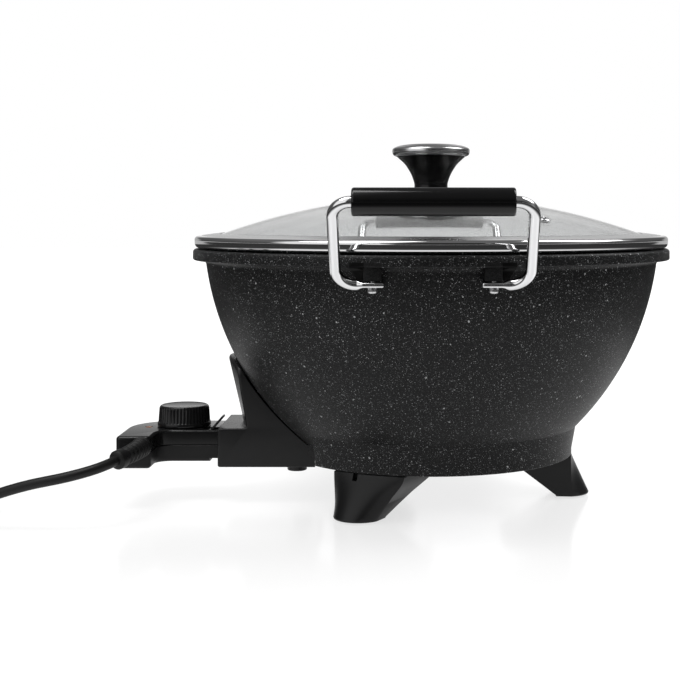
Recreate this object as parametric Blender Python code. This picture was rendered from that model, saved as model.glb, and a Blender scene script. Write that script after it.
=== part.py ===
"""Electric wok with a lift-off glass lid and a plug-in thermostat controller.

The wok is a die-cast bowl on a short base ring, with three splayed legs, two
fixed wire handles, a glass lid in a steel band, and a socket housing on its
-X side. The controller plugs into that housing from -X, and its lead leaves
the controller's bent tail towards -Y.

Units are metres and +Z is up. The world origin lies on the table, under the
middle of the object's box without its lead. The bowl's own axis stands
AXIS_X to the +X side of it, and every shape below is drawn about that axis.
"""
import math

import bpy
import bmesh
from mathutils import Matrix, Vector

# Driving dimensions of the whole object
RIM_RADIUS = 0.165
RIM_HEIGHT = 0.1727
RING_BOTTOM = 0.0305
AXIS_X = 0.0215
CASTING_WALL = 0.0035
FIT_GAP = 0.0003
CUT_OVERRUN = 0.002
JOIN_DEPTH = 0.001
BEVEL_STEPS = 2

# Numbers of sides on round pieces
LARGE_SIDES = 44
MIDDLE_SIDES = 20
SMALL_SIDES = 12
SCREW_SIDES = 8

FINISHES = {
    "fleck_coat": ((0.030, 0.031, 0.034), 0.48, 0.0),
    "black_plastic": ((0.012, 0.012, 0.013), 0.32, 0.0),
    "gloss_plastic": ((0.010, 0.010, 0.011), 0.12, 0.0),
    "black_rubber": ((0.018, 0.018, 0.018), 0.75, 0.0),
    "steel": ((0.62, 0.62, 0.63), 0.18, 1.0),
    "brushed_steel": ((0.55, 0.55, 0.56), 0.34, 1.0),
    "cast_aluminium": ((0.52, 0.53, 0.55), 0.50, 1.0),
    "brass": ((0.70, 0.52, 0.22), 0.30, 1.0),
    "ceramic": ((0.78, 0.76, 0.70), 0.60, 0.0),
    "clear_glass": ((0.82, 0.85, 0.86), 0.04, 0.0),
    "amber_lens": ((0.75, 0.22, 0.03), 0.20, 0.0),
}


def clear_scene():
    """Remove the scene's objects and the meshes and curves they leave."""
    for thing in list(bpy.data.objects):
        bpy.data.objects.remove(thing, do_unlink=True)
    for store in (bpy.data.meshes, bpy.data.curves, bpy.data.materials):
        for block in list(store):
            if block.users == 0:
                store.remove(block)


def make_material(piece_name, finish):
    """A Principled material of the piece's own, in one of the finishes."""
    colour, roughness, metallic = FINISHES[finish]
    material = bpy.data.materials.new(piece_name + "_" + finish)
    material.use_nodes = True
    shader = material.node_tree.nodes["Principled BSDF"]
    shader.inputs["Base Color"].default_value = (*colour, 1.0)
    shader.inputs["Roughness"].default_value = roughness
    shader.inputs["Metallic"].default_value = metallic
    return material


class Anchor:
    """An empty that a group of pieces is parented to, and where it stands
    in the frame of the bowl's axis."""

    def __init__(self, name, place, parent=None):
        self.place = Vector(place)
        self.empty = bpy.data.objects.new(name, None)
        bpy.context.collection.objects.link(self.empty)
        if parent:
            self.empty.parent = parent.empty
            self.empty.location = self.place - parent.place
        else:
            self.empty.location = Vector((AXIS_X, 0, 0))


def add_piece(name, shape, finish, anchor, origin=None):
    """Turn a bmesh drawn about the bowl's axis into a named object whose
    own origin lies at the given place."""
    origin = Vector(origin) if origin else anchor.place
    bmesh.ops.translate(shape, verts=shape.verts, vec=-origin)
    bmesh.ops.recalc_face_normals(shape, faces=shape.faces)
    mesh = bpy.data.meshes.new(name)
    shape.to_mesh(mesh)
    shape.free()
    mesh.shade_smooth()
    mesh.set_sharp_from_angle(angle=math.radians(35))
    piece = bpy.data.objects.new(name, mesh)
    bpy.context.collection.objects.link(piece)
    piece.parent = anchor.empty
    piece.location = origin - anchor.place
    if finish:
        mesh.materials.append(make_material(name, finish))
    return piece


def combine(piece, tool_shape, operation, tool_name):
    """Cut or join a bmesh with a piece by a Boolean modifier. The tool is
    kept as a wire guide that is neither rendered nor built."""
    tool = add_piece(tool_name, tool_shape, None, ROOT)
    tool.hide_render = True
    tool.display_type = "WIRE"
    step = piece.modifiers.new(tool_name, "BOOLEAN")
    step.operation = operation
    step.solver = "EXACT"
    step.object = tool
    return tool


def turned(outline, sides, centre=(0, 0)):
    """A solid of revolution about a vertical axis. The outline lists
    (radius, height). It is a loop, or it starts and ends on the axis. A
    flat end on the axis becomes one face."""
    shape = bmesh.new()
    closed = outline[0][0] > 0
    rings = []
    for radius, height in outline:
        count = sides if radius > 0 else 1
        ring = []
        for index in range(count):
            angle = math.tau * index / sides
            x = centre[0] + radius * math.cos(angle)
            y = centre[1] + radius * math.sin(angle)
            ring.append(shape.verts.new((x, y, height)))
        rings.append(ring)
    pairs = list(zip(rings, rings[1:]))
    if closed:
        pairs.append((rings[-1], rings[0]))
    for near, far in pairs:
        flat = near[0].co.z == far[0].co.z
        if flat and min(len(near), len(far)) == 1:
            shape.faces.new(max(near, far, key=len))
            shape.verts.remove(min(near, far, key=len)[0])
            continue
        for index in range(sides):
            after = index + 1
            corners = (near[index % len(near)], near[after % len(near)],
                       far[after % len(far)], far[index % len(far)])
            distinct = list(dict.fromkeys(corners))
            if len(distinct) > 2:
                shape.faces.new(distinct)
    return shape


def lofted(sections):
    """A closed skin through rings of points, capped at both ends."""
    shape = bmesh.new()
    rings = [[shape.verts.new(point) for point in section] for section in sections]
    for near, far in zip(rings, rings[1:]):
        count = len(near)
        for index in range(count):
            after = (index + 1) % count
            shape.faces.new((near[index], near[after], far[after], far[index]))
    shape.faces.new(rings[0][::-1])
    shape.faces.new(rings[-1])
    return shape


def prism(outline, low, high):
    """A flat outline of (x, y) points raised from one height to another."""
    return lofted([[(x, y, level) for x, y in outline] for level in (low, high)])


def side_prism(outline, near_y, far_y):
    """A flat outline of (x, z) points carried from one y to another."""
    return lofted([[(x, y, z) for x, z in outline] for y in (near_y, far_y)])


def block(low, high, edge=0, steps=BEVEL_STEPS):
    """A box between two corners, with its edges rounded by a radius."""
    shape = bmesh.new()
    bmesh.ops.create_cube(shape, size=1)
    low = Vector(low)
    high = Vector(high)
    size = high - low
    bmesh.ops.scale(shape, vec=size, verts=shape.verts)
    bmesh.ops.translate(shape, vec=(low + high) / 2, verts=shape.verts)
    if edge:
        bmesh.ops.bevel(shape, geom=shape.edges[:], offset=edge, segments=steps,
                        profile=0.5, affect="EDGES")
    return shape


def rod(start, end, radius, sides):
    """A plain round bar between two points."""
    start = Vector(start)
    axis = Vector(end) - start
    shape = turned(((0, 0), (radius, 0), (radius, axis.length), (0, axis.length)), sides)
    turn = axis.to_track_quat("Z", "Y").to_matrix().to_4x4()
    bmesh.ops.transform(shape, matrix=Matrix.Translation(start) @ turn, verts=shape.verts)
    return shape


def arc(centre, radius, start_deg, end_deg, steps):
    """Points along a flat arc, both ends included."""
    points = []
    for index in range(steps + 1):
        angle = math.radians(start_deg + (end_deg - start_deg) * index / steps)
        points.append((centre[0] + radius * math.cos(angle),
                       centre[1] + radius * math.sin(angle)))
    return points


def mixed(low, high, share):
    """The value that lies a share of the way from one to another."""
    return low + (high - low) * share


def round_the_axis(radius, angle_deg, height):
    """A point at a radius and an angle about the bowl's axis."""
    angle = math.radians(angle_deg)
    return Vector((radius * math.cos(angle), radius * math.sin(angle), height))


# Bowl wall: one arc through the foot and the neck, offset inwards by the wall
WALL_ARC_RADIUS = 0.197
FOOT_RADIUS = 0.1064
FOOT_HEIGHT = 0.0562
NECK_INSET = 0.0091
NECK_RADIUS = RIM_RADIUS - NECK_INSET
NECK_DROP = 0.0112
NECK_HEIGHT = RIM_HEIGHT - NECK_DROP
FLOOR_TOP = 0.045
FLOOR_THICKNESS = 0.005
FLOOR_FILLET = 0.016
FLANGE_FACE = 0.0062
FLANGE_ROUND = 0.0022
LIP_ROUND = 0.001
WALL_ROWS = 6


def wall_centre():
    """Centre (radius, height) of the wall's arc, on the inner side of it."""
    chord = Vector((NECK_RADIUS - FOOT_RADIUS, NECK_HEIGHT - FOOT_HEIGHT))
    middle = Vector((NECK_RADIUS + FOOT_RADIUS, NECK_HEIGHT + FOOT_HEIGHT)) / 2
    reach = math.sqrt(max(0, WALL_ARC_RADIUS ** 2 - (chord.length / 2) ** 2))
    inward = Vector((-chord.y, chord.x)).normalized()
    return middle + inward * reach


def wall_radius(height, depth=0):
    """Radius of the bowl's outer wall at a height, or of a surface that
    lies a depth inside it."""
    centre = wall_centre()
    reach = (WALL_ARC_RADIUS - depth) ** 2 - (centre.y - height) ** 2
    return centre.x + math.sqrt(max(0, reach))


def bowl_outline():
    """The bowl's section, from the middle of the cooking floor up the
    inside, over the rim flange and down the outside to the underside."""
    under = FLOOR_TOP - FLOOR_THICKNESS
    flange_bottom = RIM_HEIGHT - FLANGE_FACE
    lip = (wall_radius(RIM_HEIGHT, CASTING_WALL) + LIP_ROUND, RIM_HEIGHT - LIP_ROUND)
    fillet_top = FLOOR_TOP + FLOOR_FILLET
    fillet_foot = wall_radius(fillet_top, CASTING_WALL) - FLOOR_FILLET
    outline = [(0, FLOOR_TOP)]
    rise = Vector((wall_radius(fillet_top, CASTING_WALL), fillet_top))
    corner = Vector((wall_radius(FLOOR_TOP, CASTING_WALL), FLOOR_TOP))
    for step in range(4):
        share = step / 3
        low = Vector((fillet_foot, FLOOR_TOP)).lerp(corner, share)
        outline.append(tuple(low.lerp(corner.lerp(rise, share), share)))
    for step in range(1, WALL_ROWS):
        height = mixed(fillet_top, lip[1], step / WALL_ROWS)
        outline.append((wall_radius(height, CASTING_WALL), height))
    outline += arc(lip, LIP_ROUND, 180, 90, 1)
    upper = (RIM_RADIUS - FLANGE_ROUND, RIM_HEIGHT - FLANGE_ROUND)
    outline += arc(upper, FLANGE_ROUND, 90, 0, 2)
    lower_round = FLANGE_ROUND / 2
    outline += arc((RIM_RADIUS - lower_round, flange_bottom + lower_round),
                   lower_round, 0, -90, 1)
    cove = flange_bottom - NECK_HEIGHT
    outline += arc((wall_radius(NECK_HEIGHT) + cove, NECK_HEIGHT), cove, 90, 180, 3)
    for step in range(1, WALL_ROWS + 1):
        height = mixed(NECK_HEIGHT, under, step / WALL_ROWS)
        outline.append((wall_radius(height), height))
    outline.append((0, under))
    return outline


# Base ring: a short skirt under the bowl, open where the housing enters it
RING_RADIUS = 0.098
RING_FLARE = 0.0030
RING_WALL = 0.004
RING_GAP_DEG = 39.5
RING_EDGE = 0.0008


def base_ring():
    """The ring as an arc-shaped bar that runs up into the bowl's wall."""
    inner = RING_RADIUS - RING_WALL
    top = underside(RING_RADIUS) + RING_FLARE
    sink = JOIN_DEPTH
    outline = [(inner, RING_BOTTOM), (RING_RADIUS - RING_EDGE, RING_BOTTOM),
               (RING_RADIUS, RING_BOTTOM + RING_EDGE),
               (wall_radius(top), top), (wall_radius(top) - sink, top + sink / 2),
               (inner, underside(inner) + sink)]
    start = -180 + RING_GAP_DEG
    steps = round(LARGE_SIDES * (1 - RING_GAP_DEG / 180))
    sections = []
    for step in range(steps + 1):
        angle = mixed(start, -start, step / steps)
        sections.append([round_the_axis(radius, angle, height) for radius, height in outline])
    return lofted(sections)


def wall_height(radius):
    """Height at which the bowl's outer wall has a radius, on its lower part."""
    centre = wall_centre()
    reach = WALL_ARC_RADIUS ** 2 - (radius - centre.x) ** 2
    return centre.y - math.sqrt(max(0, reach))


def underside(radius):
    """Height of the bowl's outer face at a radius: the flat floor, or the
    lower part of the wall."""
    return max(FLOOR_TOP - FLOOR_THICKNESS, wall_height(radius))


def run_into_bowl(shape, low):
    """Move the corners above a height up to the bowl and a little into it,
    so that a boss or post is cut to the slope that it stands under."""
    for corner in shape.verts:
        if corner.co.z > low:
            corner.co.z = underside(math.hypot(corner.co.x, corner.co.y)) + JOIN_DEPTH
    return shape


# Handle lugs: cast blocks under the flange that the handle wires screw to
LUG_X = 0.0357
LUG_WIDTH = 0.0106
LUG_DROP = 0.0152
LUG_BOTTOM = RIM_HEIGHT - LUG_DROP
LUG_SET_BACK = 0.0003
POCKET_WIDTH = 0.008
POCKET_HEIGHT = 0.0058
POCKET_DEPTH_SHARE = 0.32

# Handle wire: a bent round bar with flattened ends below the lugs
WIRE_RADIUS = 0.0034
FLAT_WIDTH = 0.0084
FLAT_THICKNESS = 0.0036
FLAT_INSET = 0.0078
FLAT_Y = RIM_RADIUS - FLAT_INSET
FLAT_END_X = 0.029
FLAT_LENGTH = 0.0125
FLAT_BLEND = 0.006
WIRE_X = 0.0578
LOWER_BEND = 0.0125
UPPER_BEND = 0.0108
GRIP_REACH = 0.0315
GRIP_Y = RIM_RADIUS + GRIP_REACH
GRIP_RISE = 0.0321
GRIP_HEIGHT = RIM_HEIGHT + GRIP_RISE
GRIP_RADIUS = 0.0079
GRIP_HALF_LENGTH = 0.0464
GRIP_EDGE = 0.0014
WIRE_POINTS = 8

# Pan-head screws for the handles, the legs, the base cover and the housing
SCREW_RADIUS = 0.0015
SCREW_HEAD_RADIUS = 0.00305
SCREW_HEAD_HEIGHT = 0.0034
SCREW_REACH = 0.008


def handle_screw_places():
    """The four places, in plan, where a handle screw enters a lug."""
    return [(side * LUG_X, end * FLAT_Y) for end in (-1, 1) for side in (-1, 1)]


def lug_face():
    """Distance from the axis plane to the lugs' outer faces."""
    return math.sqrt(RIM_RADIUS ** 2 - (LUG_X + LUG_WIDTH / 2) ** 2) - LUG_SET_BACK


def merged(shapes):
    """One bmesh out of several that don't touch."""
    whole = bmesh.new()
    for shape in shapes:
        mesh = bpy.data.meshes.new("part")
        shape.to_mesh(mesh)
        shape.free()
        whole.from_mesh(mesh)
        bpy.data.meshes.remove(mesh)
    return whole


def handle_lugs():
    """Four blocks that run from inside the flange down to the wires."""
    top = RIM_HEIGHT - FLANGE_FACE + JOIN_DEPTH
    inner = math.sqrt(wall_radius(LUG_BOTTOM) ** 2 - (LUG_X + LUG_WIDTH / 2) ** 2)
    inner -= CASTING_WALL / 2
    lugs = []
    for x, y in handle_screw_places():
        near = math.copysign(inner, y)
        far = math.copysign(lug_face(), y)
        low = (x - LUG_WIDTH / 2, min(near, far), LUG_BOTTOM)
        high = (x + LUG_WIDTH / 2, max(near, far), top)
        lugs.append(block(low, high))
    return merged(lugs)


def lug_pockets():
    """Undercuts in the cove on the outer side of each lug."""
    top = RIM_HEIGHT - FLANGE_FACE - FIT_GAP
    pockets = []
    for x, y in handle_screw_places():
        side = math.copysign(1, x)
        start = x + side * (LUG_WIDTH / 2 + FIT_GAP)
        end = start + side * POCKET_WIDTH
        outer = RIM_RADIUS + CUT_OVERRUN
        inner = wall_radius(NECK_HEIGHT) - CASTING_WALL * POCKET_DEPTH_SHARE
        inner = math.sqrt(inner ** 2 - max(abs(start), abs(end)) ** 2)
        near = math.copysign(inner + POCKET_WIDTH / 2, y)
        far = math.copysign(outer, y)
        low = (min(start, end), min(near, far), top - POCKET_HEIGHT)
        high = (max(start, end), max(near, far), top)
        pockets.append(block(low, high))
    return merged(pockets)


def screw(tip, head_base, radius, head_radius, head_height, centre):
    """A pan-head screw that points up: the shank ends at the tip and the
    head hangs below its base."""
    dome = head_height / 2
    bottom = head_base - head_height
    point = radius / 2
    outline = [(0, bottom)]
    outline += arc((head_radius - dome, bottom + dome), dome, -90, 0, 2)
    outline += [(head_radius, head_base), (radius, head_base),
                (radius, tip - point), (point, tip), (0, tip)]
    return turned(outline, SCREW_SIDES, centre)


# Base: cover plate, bosses for the legs, and the well for the probe
COVER_THICKNESS = 0.0012
COVER_BOTTOM = 0.0315
COVER_CHORD_X = 0.0775
BOSS_RADIUS = 0.006
LEG_BOSS_INSET = 0.0200
LEG_BOSS_RADIAL = RING_RADIUS - LEG_BOSS_INSET
HEATER_TO_BOSS = 0.0230
HEATER_RING_RADIUS = LEG_BOSS_RADIAL - HEATER_TO_BOSS
BOSS_CLEARANCE = 0.0006
CENTRE_BOSS_RADIUS = 0.005
LEG_ANGLES_DEG = (0, 120, 240)
LEG_NAMES = ("right", "rear_left", "front_left")
PROBE_HEIGHT = 0.0362
PROBE_RADIUS = 0.003
WELL_START_X = 0.088
WELL_TO_HEATER = 0.0050
WELL_END_X = HEATER_RING_RADIUS + WELL_TO_HEATER
WELL_END_DEPTH = 0.0040
PROBE_END_X = WELL_END_X + WELL_END_DEPTH
WELL_HALF_WIDTH = 0.0058
WELL_WALL = 0.0016
PROBE_CLEARANCE = 0.0004


def base_bosses():
    """Bosses under the floor: three for the legs, one in the middle for
    the cover, and the block with the well that the probe slides into."""
    top = FLOOR_TOP - FLOOR_THICKNESS + JOIN_DEPTH
    bosses = []
    for angle in LEG_ANGLES_DEG:
        place = round_the_axis(LEG_BOSS_RADIAL, angle, RING_BOTTOM)
        bosses.append(rod(place, place + Vector((0, 0, top - RING_BOTTOM)), BOSS_RADIUS,
                          SMALL_SIDES))
    cover_top = COVER_BOTTOM + COVER_THICKNESS + FIT_GAP
    bosses.append(rod((0, 0, cover_top), (0, 0, top), CENTRE_BOSS_RADIUS, SMALL_SIDES))
    well_bottom = PROBE_HEIGHT - PROBE_RADIUS - PROBE_CLEARANCE - WELL_WALL
    bosses.append(block((-WELL_START_X, -WELL_HALF_WIDTH, well_bottom),
                        (-WELL_END_X, WELL_HALF_WIDTH, top)))
    return run_into_bowl(merged(bosses), PROBE_HEIGHT)


def bowl_holes():
    """Screw holes in the lugs and bosses, and the bore of the probe well."""
    radius = SCREW_RADIUS + FIT_GAP
    holes = []
    for x, y in handle_screw_places():
        start = Vector((x, y, LUG_BOTTOM - CUT_OVERRUN))
        holes.append(rod(start, start + Vector((0, 0, CUT_OVERRUN + SCREW_REACH)),
                         radius, SCREW_SIDES))
    depth = FLOOR_TOP - FLOOR_THICKNESS - RING_BOTTOM
    for angle in LEG_ANGLES_DEG:
        start = round_the_axis(LEG_BOSS_RADIAL, angle, RING_BOTTOM - CUT_OVERRUN)
        holes.append(rod(start, start + Vector((0, 0, CUT_OVERRUN + depth)),
                         radius, SCREW_SIDES))
    start = Vector((0, 0, COVER_BOTTOM))
    holes.append(rod(start, start + Vector((0, 0, SCREW_REACH)), radius, SCREW_SIDES))
    low = HOUSING_BOTTOM + HOUSING_WALL
    for side in (-1, 1):
        start = Vector((-POST_X, side * POST_Y, low))
        holes.append(rod(start, Vector((-POST_X, side * POST_Y, POST_DRILL_TOP)),
                         radius, SCREW_SIDES))
    bore = PROBE_RADIUS + PROBE_CLEARANCE
    holes.append(rod((-WELL_START_X - CUT_OVERRUN, 0, PROBE_HEIGHT),
                     (-PROBE_END_X + CUT_OVERRUN / 2, 0, PROBE_HEIGHT), bore, SMALL_SIDES))
    return merged(holes)


def make_bowl():
    """The casting: bowl, base ring, lugs and bosses in one body."""
    bowl = add_piece("bowl", turned(bowl_outline(), LARGE_SIDES), "fleck_coat", ROOT)
    combine(bowl, base_ring(), "UNION", "base_ring_guide")
    combine(bowl, lug_pockets(), "DIFFERENCE", "lug_pocket_cutter")
    combine(bowl, handle_lugs(), "UNION", "handle_lug_guide")
    combine(bowl, base_bosses(), "UNION", "base_boss_guide")
    combine(bowl, housing_posts(), "UNION", "housing_post_guide")
    combine(bowl, bowl_holes(), "DIFFERENCE", "bowl_hole_cutter")


def make_base_cover():
    """A flat plate inside the base ring, held by one screw."""
    outer = RING_RADIUS - RING_WALL - FIT_GAP
    bottom = COVER_BOTTOM
    top = bottom + COVER_THICKNESS
    cover = add_piece("base_cover", turned([(0, bottom), (outer, bottom), (outer, top), (0, top)],
                                           LARGE_SIDES), "brushed_steel", ROOT)
    low = bottom - CUT_OVERRUN
    high = top + CUT_OVERRUN
    cuts = [rod((0, 0, low), (0, 0, high), SCREW_RADIUS + FIT_GAP, SCREW_SIDES)]
    for angle in LEG_ANGLES_DEG:
        place = round_the_axis(LEG_BOSS_RADIAL, angle, low)
        cuts.append(rod(place, place + Vector((0, 0, high - low)),
                        BOSS_RADIUS + BOSS_CLEARANCE, SMALL_SIDES))
    cuts.append(block((-RING_RADIUS - CUT_OVERRUN, -RING_RADIUS, low),
                      (-COVER_CHORD_X, RING_RADIUS, high)))
    notch = WELL_HALF_WIDTH + BOSS_CLEARANCE
    combine(cover, block((-RING_RADIUS, -notch, low), (-WELL_END_X + BOSS_CLEARANCE, notch, high)),
            "DIFFERENCE", "base_cover_notch")
    combine(cover, merged(cuts), "DIFFERENCE", "base_cover_cutter")
    base = bottom - FIT_GAP
    fixing = screw(base + SCREW_REACH / 2 + COVER_THICKNESS, base, SCREW_RADIUS,
                   SCREW_HEAD_RADIUS, SCREW_HEAD_HEIGHT / 2, (0, 0))
    add_piece("base_cover_screw", fixing, "steel", ROOT)


def swept(path, half_sizes, squareness, count, width_axis):
    """A bar through a list of points. Each point has its own half width,
    half thickness and squareness, from 0 for an ellipse to 1 for a
    rounded square. The widths lie along one axis as far as they can."""
    sections = []
    for index, point in enumerate(path):
        before = path[max(index - 1, 0)]
        after = path[min(index + 1, len(path) - 1)]
        along = (after - before).normalized()
        across = (width_axis - along * along.dot(width_axis)).normalized()
        up = along.cross(across)
        power = 1 - squareness[index] / 2
        section = []
        for step in range(count):
            angle = math.tau * (step + 0.5) / count
            c, s = math.cos(angle), math.sin(angle)
            x = math.copysign(abs(c) ** power, c) * half_sizes[index][0]
            y = math.copysign(abs(s) ** power, s) * half_sizes[index][1]
            section.append(point + across * x + up * y)
        sections.append(section)
    return lofted(sections)


def bend(corner, start, end, radius, steps):
    """Points of a round bend at a corner between two straight runs."""
    first = (start - corner).normalized()
    second = (end - corner).normalized()
    half = first.angle(second) / 2
    reach = radius / math.tan(half)
    middle = corner + (first + second).normalized() * (radius / math.sin(half))
    a = corner + first * reach - middle
    b = corner + second * reach - middle
    turn = a.angle(b)
    points = []
    for step in range(steps + 1):
        share = step / steps
        left = math.sin((1 - share) * turn) / math.sin(turn)
        right = math.sin(share * turn) / math.sin(turn)
        points.append(middle + a * left + b * right)
    return points


def make_handle(name, side):
    """One wire with its grip and its two screws. side is -1 for the front
    handle and 1 for the rear one."""
    flat_height = LUG_BOTTOM - FIT_GAP - FLAT_THICKNESS / 2
    end = Vector((FLAT_END_X, side * FLAT_Y, flat_height))
    low_corner = Vector((WIRE_X, side * FLAT_Y, flat_height))
    top_corner = Vector((WIRE_X, side * GRIP_Y, GRIP_HEIGHT))
    middle = Vector((0, side * GRIP_Y, GRIP_HEIGHT))
    flat_end = end + Vector((FLAT_LENGTH, 0, 0))
    blend_end = flat_end + Vector((FLAT_BLEND / 2, 0, 0))
    run = [end, flat_end, blend_end]
    run += bend(low_corner, end, top_corner, LOWER_BEND, 5)
    run += bend(top_corner, low_corner, middle, UPPER_BEND, 5)
    mirror = [Vector((-point.x, point.y, point.z)) for point in reversed(run)]
    path = run + mirror
    flat = (FLAT_WIDTH / 2, FLAT_THICKNESS / 2)
    mean = ((flat[0] + WIRE_RADIUS) / 2, (flat[1] + WIRE_RADIUS) / 2)
    bar = (WIRE_RADIUS, WIRE_RADIUS)
    sizes = [flat, flat, mean] + [bar] * (len(run) - 3)
    square = [0.8, 0.8, 0.3] + [0] * (len(run) - 3)
    shape = swept(path, sizes + sizes[::-1], square + square[::-1], WIRE_POINTS,
                  Vector((0, 1, 0)))
    wire = add_piece(name + "_handle_wire", shape, "steel", ROOT)
    holes = []
    for x_side in (-1, 1):
        low = Vector((x_side * LUG_X, side * FLAT_Y, flat_height - FLAT_THICKNESS))
        holes.append(rod(low, low + Vector((0, 0, FLAT_THICKNESS * 2)),
                         SCREW_RADIUS + FIT_GAP, SCREW_SIDES))
    combine(wire, merged(holes), "DIFFERENCE", name + "_handle_wire_drill")
    head_base = LUG_BOTTOM - FIT_GAP * 2 - FLAT_THICKNESS
    tip = LUG_BOTTOM + SCREW_REACH - FIT_GAP * 2
    for x_side, label in ((-1, "left"), (1, "right")):
        fixing = screw(tip, head_base, SCREW_RADIUS, SCREW_HEAD_RADIUS, SCREW_HEAD_HEIGHT,
                       (x_side * LUG_X, side * FLAT_Y))
        add_piece(name + "_handle_screw_" + label, fixing, "steel", ROOT)
    bore = WIRE_RADIUS + FIT_GAP
    half = GRIP_HALF_LENGTH
    inner_edge = GRIP_EDGE / 2
    outline = [(bore, inner_edge - half), (bore + inner_edge, -half)]
    outline += arc((GRIP_RADIUS - GRIP_EDGE, GRIP_EDGE - half), GRIP_EDGE, -90, 0, 2)
    outline += arc((GRIP_RADIUS - GRIP_EDGE, half - GRIP_EDGE), GRIP_EDGE, 0, 90, 2)
    outline += [(bore + inner_edge, half), (bore, half - inner_edge)]
    grip = turned(outline, MIDDLE_SIDES)
    turn = Matrix.Rotation(math.pi / 2, 4, "Y")
    bmesh.ops.transform(grip, matrix=Matrix.Translation(middle) @ turn, verts=grip.verts)
    add_piece(name + "_handle_grip", grip, "black_plastic", ROOT)


# Heating element: a sheathed tube in one open ring below the floor
HEATER_RADIUS = 0.0032
HEATER_TAIL_Y = 0.012
HEATER_TURN_DEG = 25
HEATER_TAIL_BEND = 0.0130
HEATER_TAIL_BEND_X = HEATER_RING_RADIUS + HEATER_TAIL_BEND
HEATER_STEPS = 14
HEATER_SIDES = 6


def make_heater(tail_end_x):
    """The element's two tails run side by side to the inlet block."""
    height = PROBE_HEIGHT
    tail = Vector((-tail_end_x, -HEATER_TAIL_Y, height))
    bend_start = Vector((-HEATER_TAIL_BEND_X, -HEATER_TAIL_Y, height))
    ring_start = round_the_axis(HEATER_RING_RADIUS, 180 + HEATER_TURN_DEG, height)
    control = Vector((ring_start.x, bend_start.y, height))
    path = [tail, tail + (bend_start - tail) / 2]
    for step in range(5):
        share = step / 4
        path.append(bend_start.lerp(control, share).lerp(control.lerp(ring_start, share), share))
    for step in range(1, HEATER_STEPS + 1):
        angle = mixed(180 + HEATER_TURN_DEG, 360, step / HEATER_STEPS)
        path.append(round_the_axis(HEATER_RING_RADIUS, angle, height))
    path += [Vector((point.x, -point.y, point.z)) for point in reversed(path[:-1])]
    sizes = [(HEATER_RADIUS, HEATER_RADIUS)] * len(path)
    shape = swept(path, sizes, [0] * len(path), HEATER_SIDES, Vector((0, 0, 1)))
    add_piece("heating_element", shape, "brushed_steel", ROOT)


# Legs: mouldings with a round nose that flare to one side, screwed up into the
# base bosses
LEG_TOP_DEPTH = 0.0480
LEG_TOP_INNER = RING_RADIUS - LEG_TOP_DEPTH
LEG_PLAIN_SIDE = 0.0175
LEG_FLARED_SIDE = 0.0330
LEG_FOOT_DEPTH = 0.0120
LEG_FOOT_INNER = RING_RADIUS - LEG_FOOT_DEPTH
LEG_FOOT_HALF_WIDTH = 0.0155
LEG_FOOT_INSET = 0.0040
LEG_FOOT_CENTRE = RING_RADIUS - LEG_FOOT_INSET
LEG_FOOT_NOSE = 0.0165
LEG_FOOT_EDGE = 0.001
LEG_RISE_SHARES = (0, 0.25, 0.5, 0.78, 0.9, 1)
LEG_FLARE_SHARES = (0, 0.24, 0.5, 0.86, 0.97, 1)
LEG_NOTCH_HALF_WIDTH = 0.0018
LEG_NOTCH_HEIGHT = 0.0045
LEG_NOTCH_DEPTH = 0.003
LEG_ARC_STEPS = 6
LEG_SCREW_SHOULDER = 0.020
PAD_RADIUS = 0.0058
PAD_OUTSET = 0.0005
PAD_RADIAL = RING_RADIUS + PAD_OUTSET
PAD_STAND_OFF = 0.001
PAD_RECESS = 0.002


def leg_section(rise, flare, height, shrink=0):
    """A D-shaped ring of points: a straight inner side and a round nose. Only one
    of its ends flares."""
    ring = RING_RADIUS - shrink
    plain, flared = (math.degrees(math.asin(min(1, side / RING_RADIUS)))
                     for side in (LEG_PLAIN_SIDE, LEG_FLARED_SIDE))
    nose = arc((LEG_FOOT_CENTRE, 0), LEG_FOOT_NOSE - shrink, -80, 80, LEG_ARC_STEPS)
    top = arc((0, 0), ring, -plain, flared, LEG_ARC_STEPS)
    foot_inner = LEG_FOOT_INNER + shrink
    foot_half = LEG_FOOT_HALF_WIDTH - shrink
    foot = [(foot_inner, -foot_half)] + nose + [(foot_inner, foot_half)]
    head = [(LEG_TOP_INNER, -LEG_PLAIN_SIDE)] + top + [(LEG_TOP_INNER, LEG_FLARED_SIDE)]
    points = []
    for low, high in zip(foot, head):
        points.append(Vector((mixed(low[0], high[0], rise), mixed(low[1], high[1], flare),
                              height)))
    return points


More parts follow.
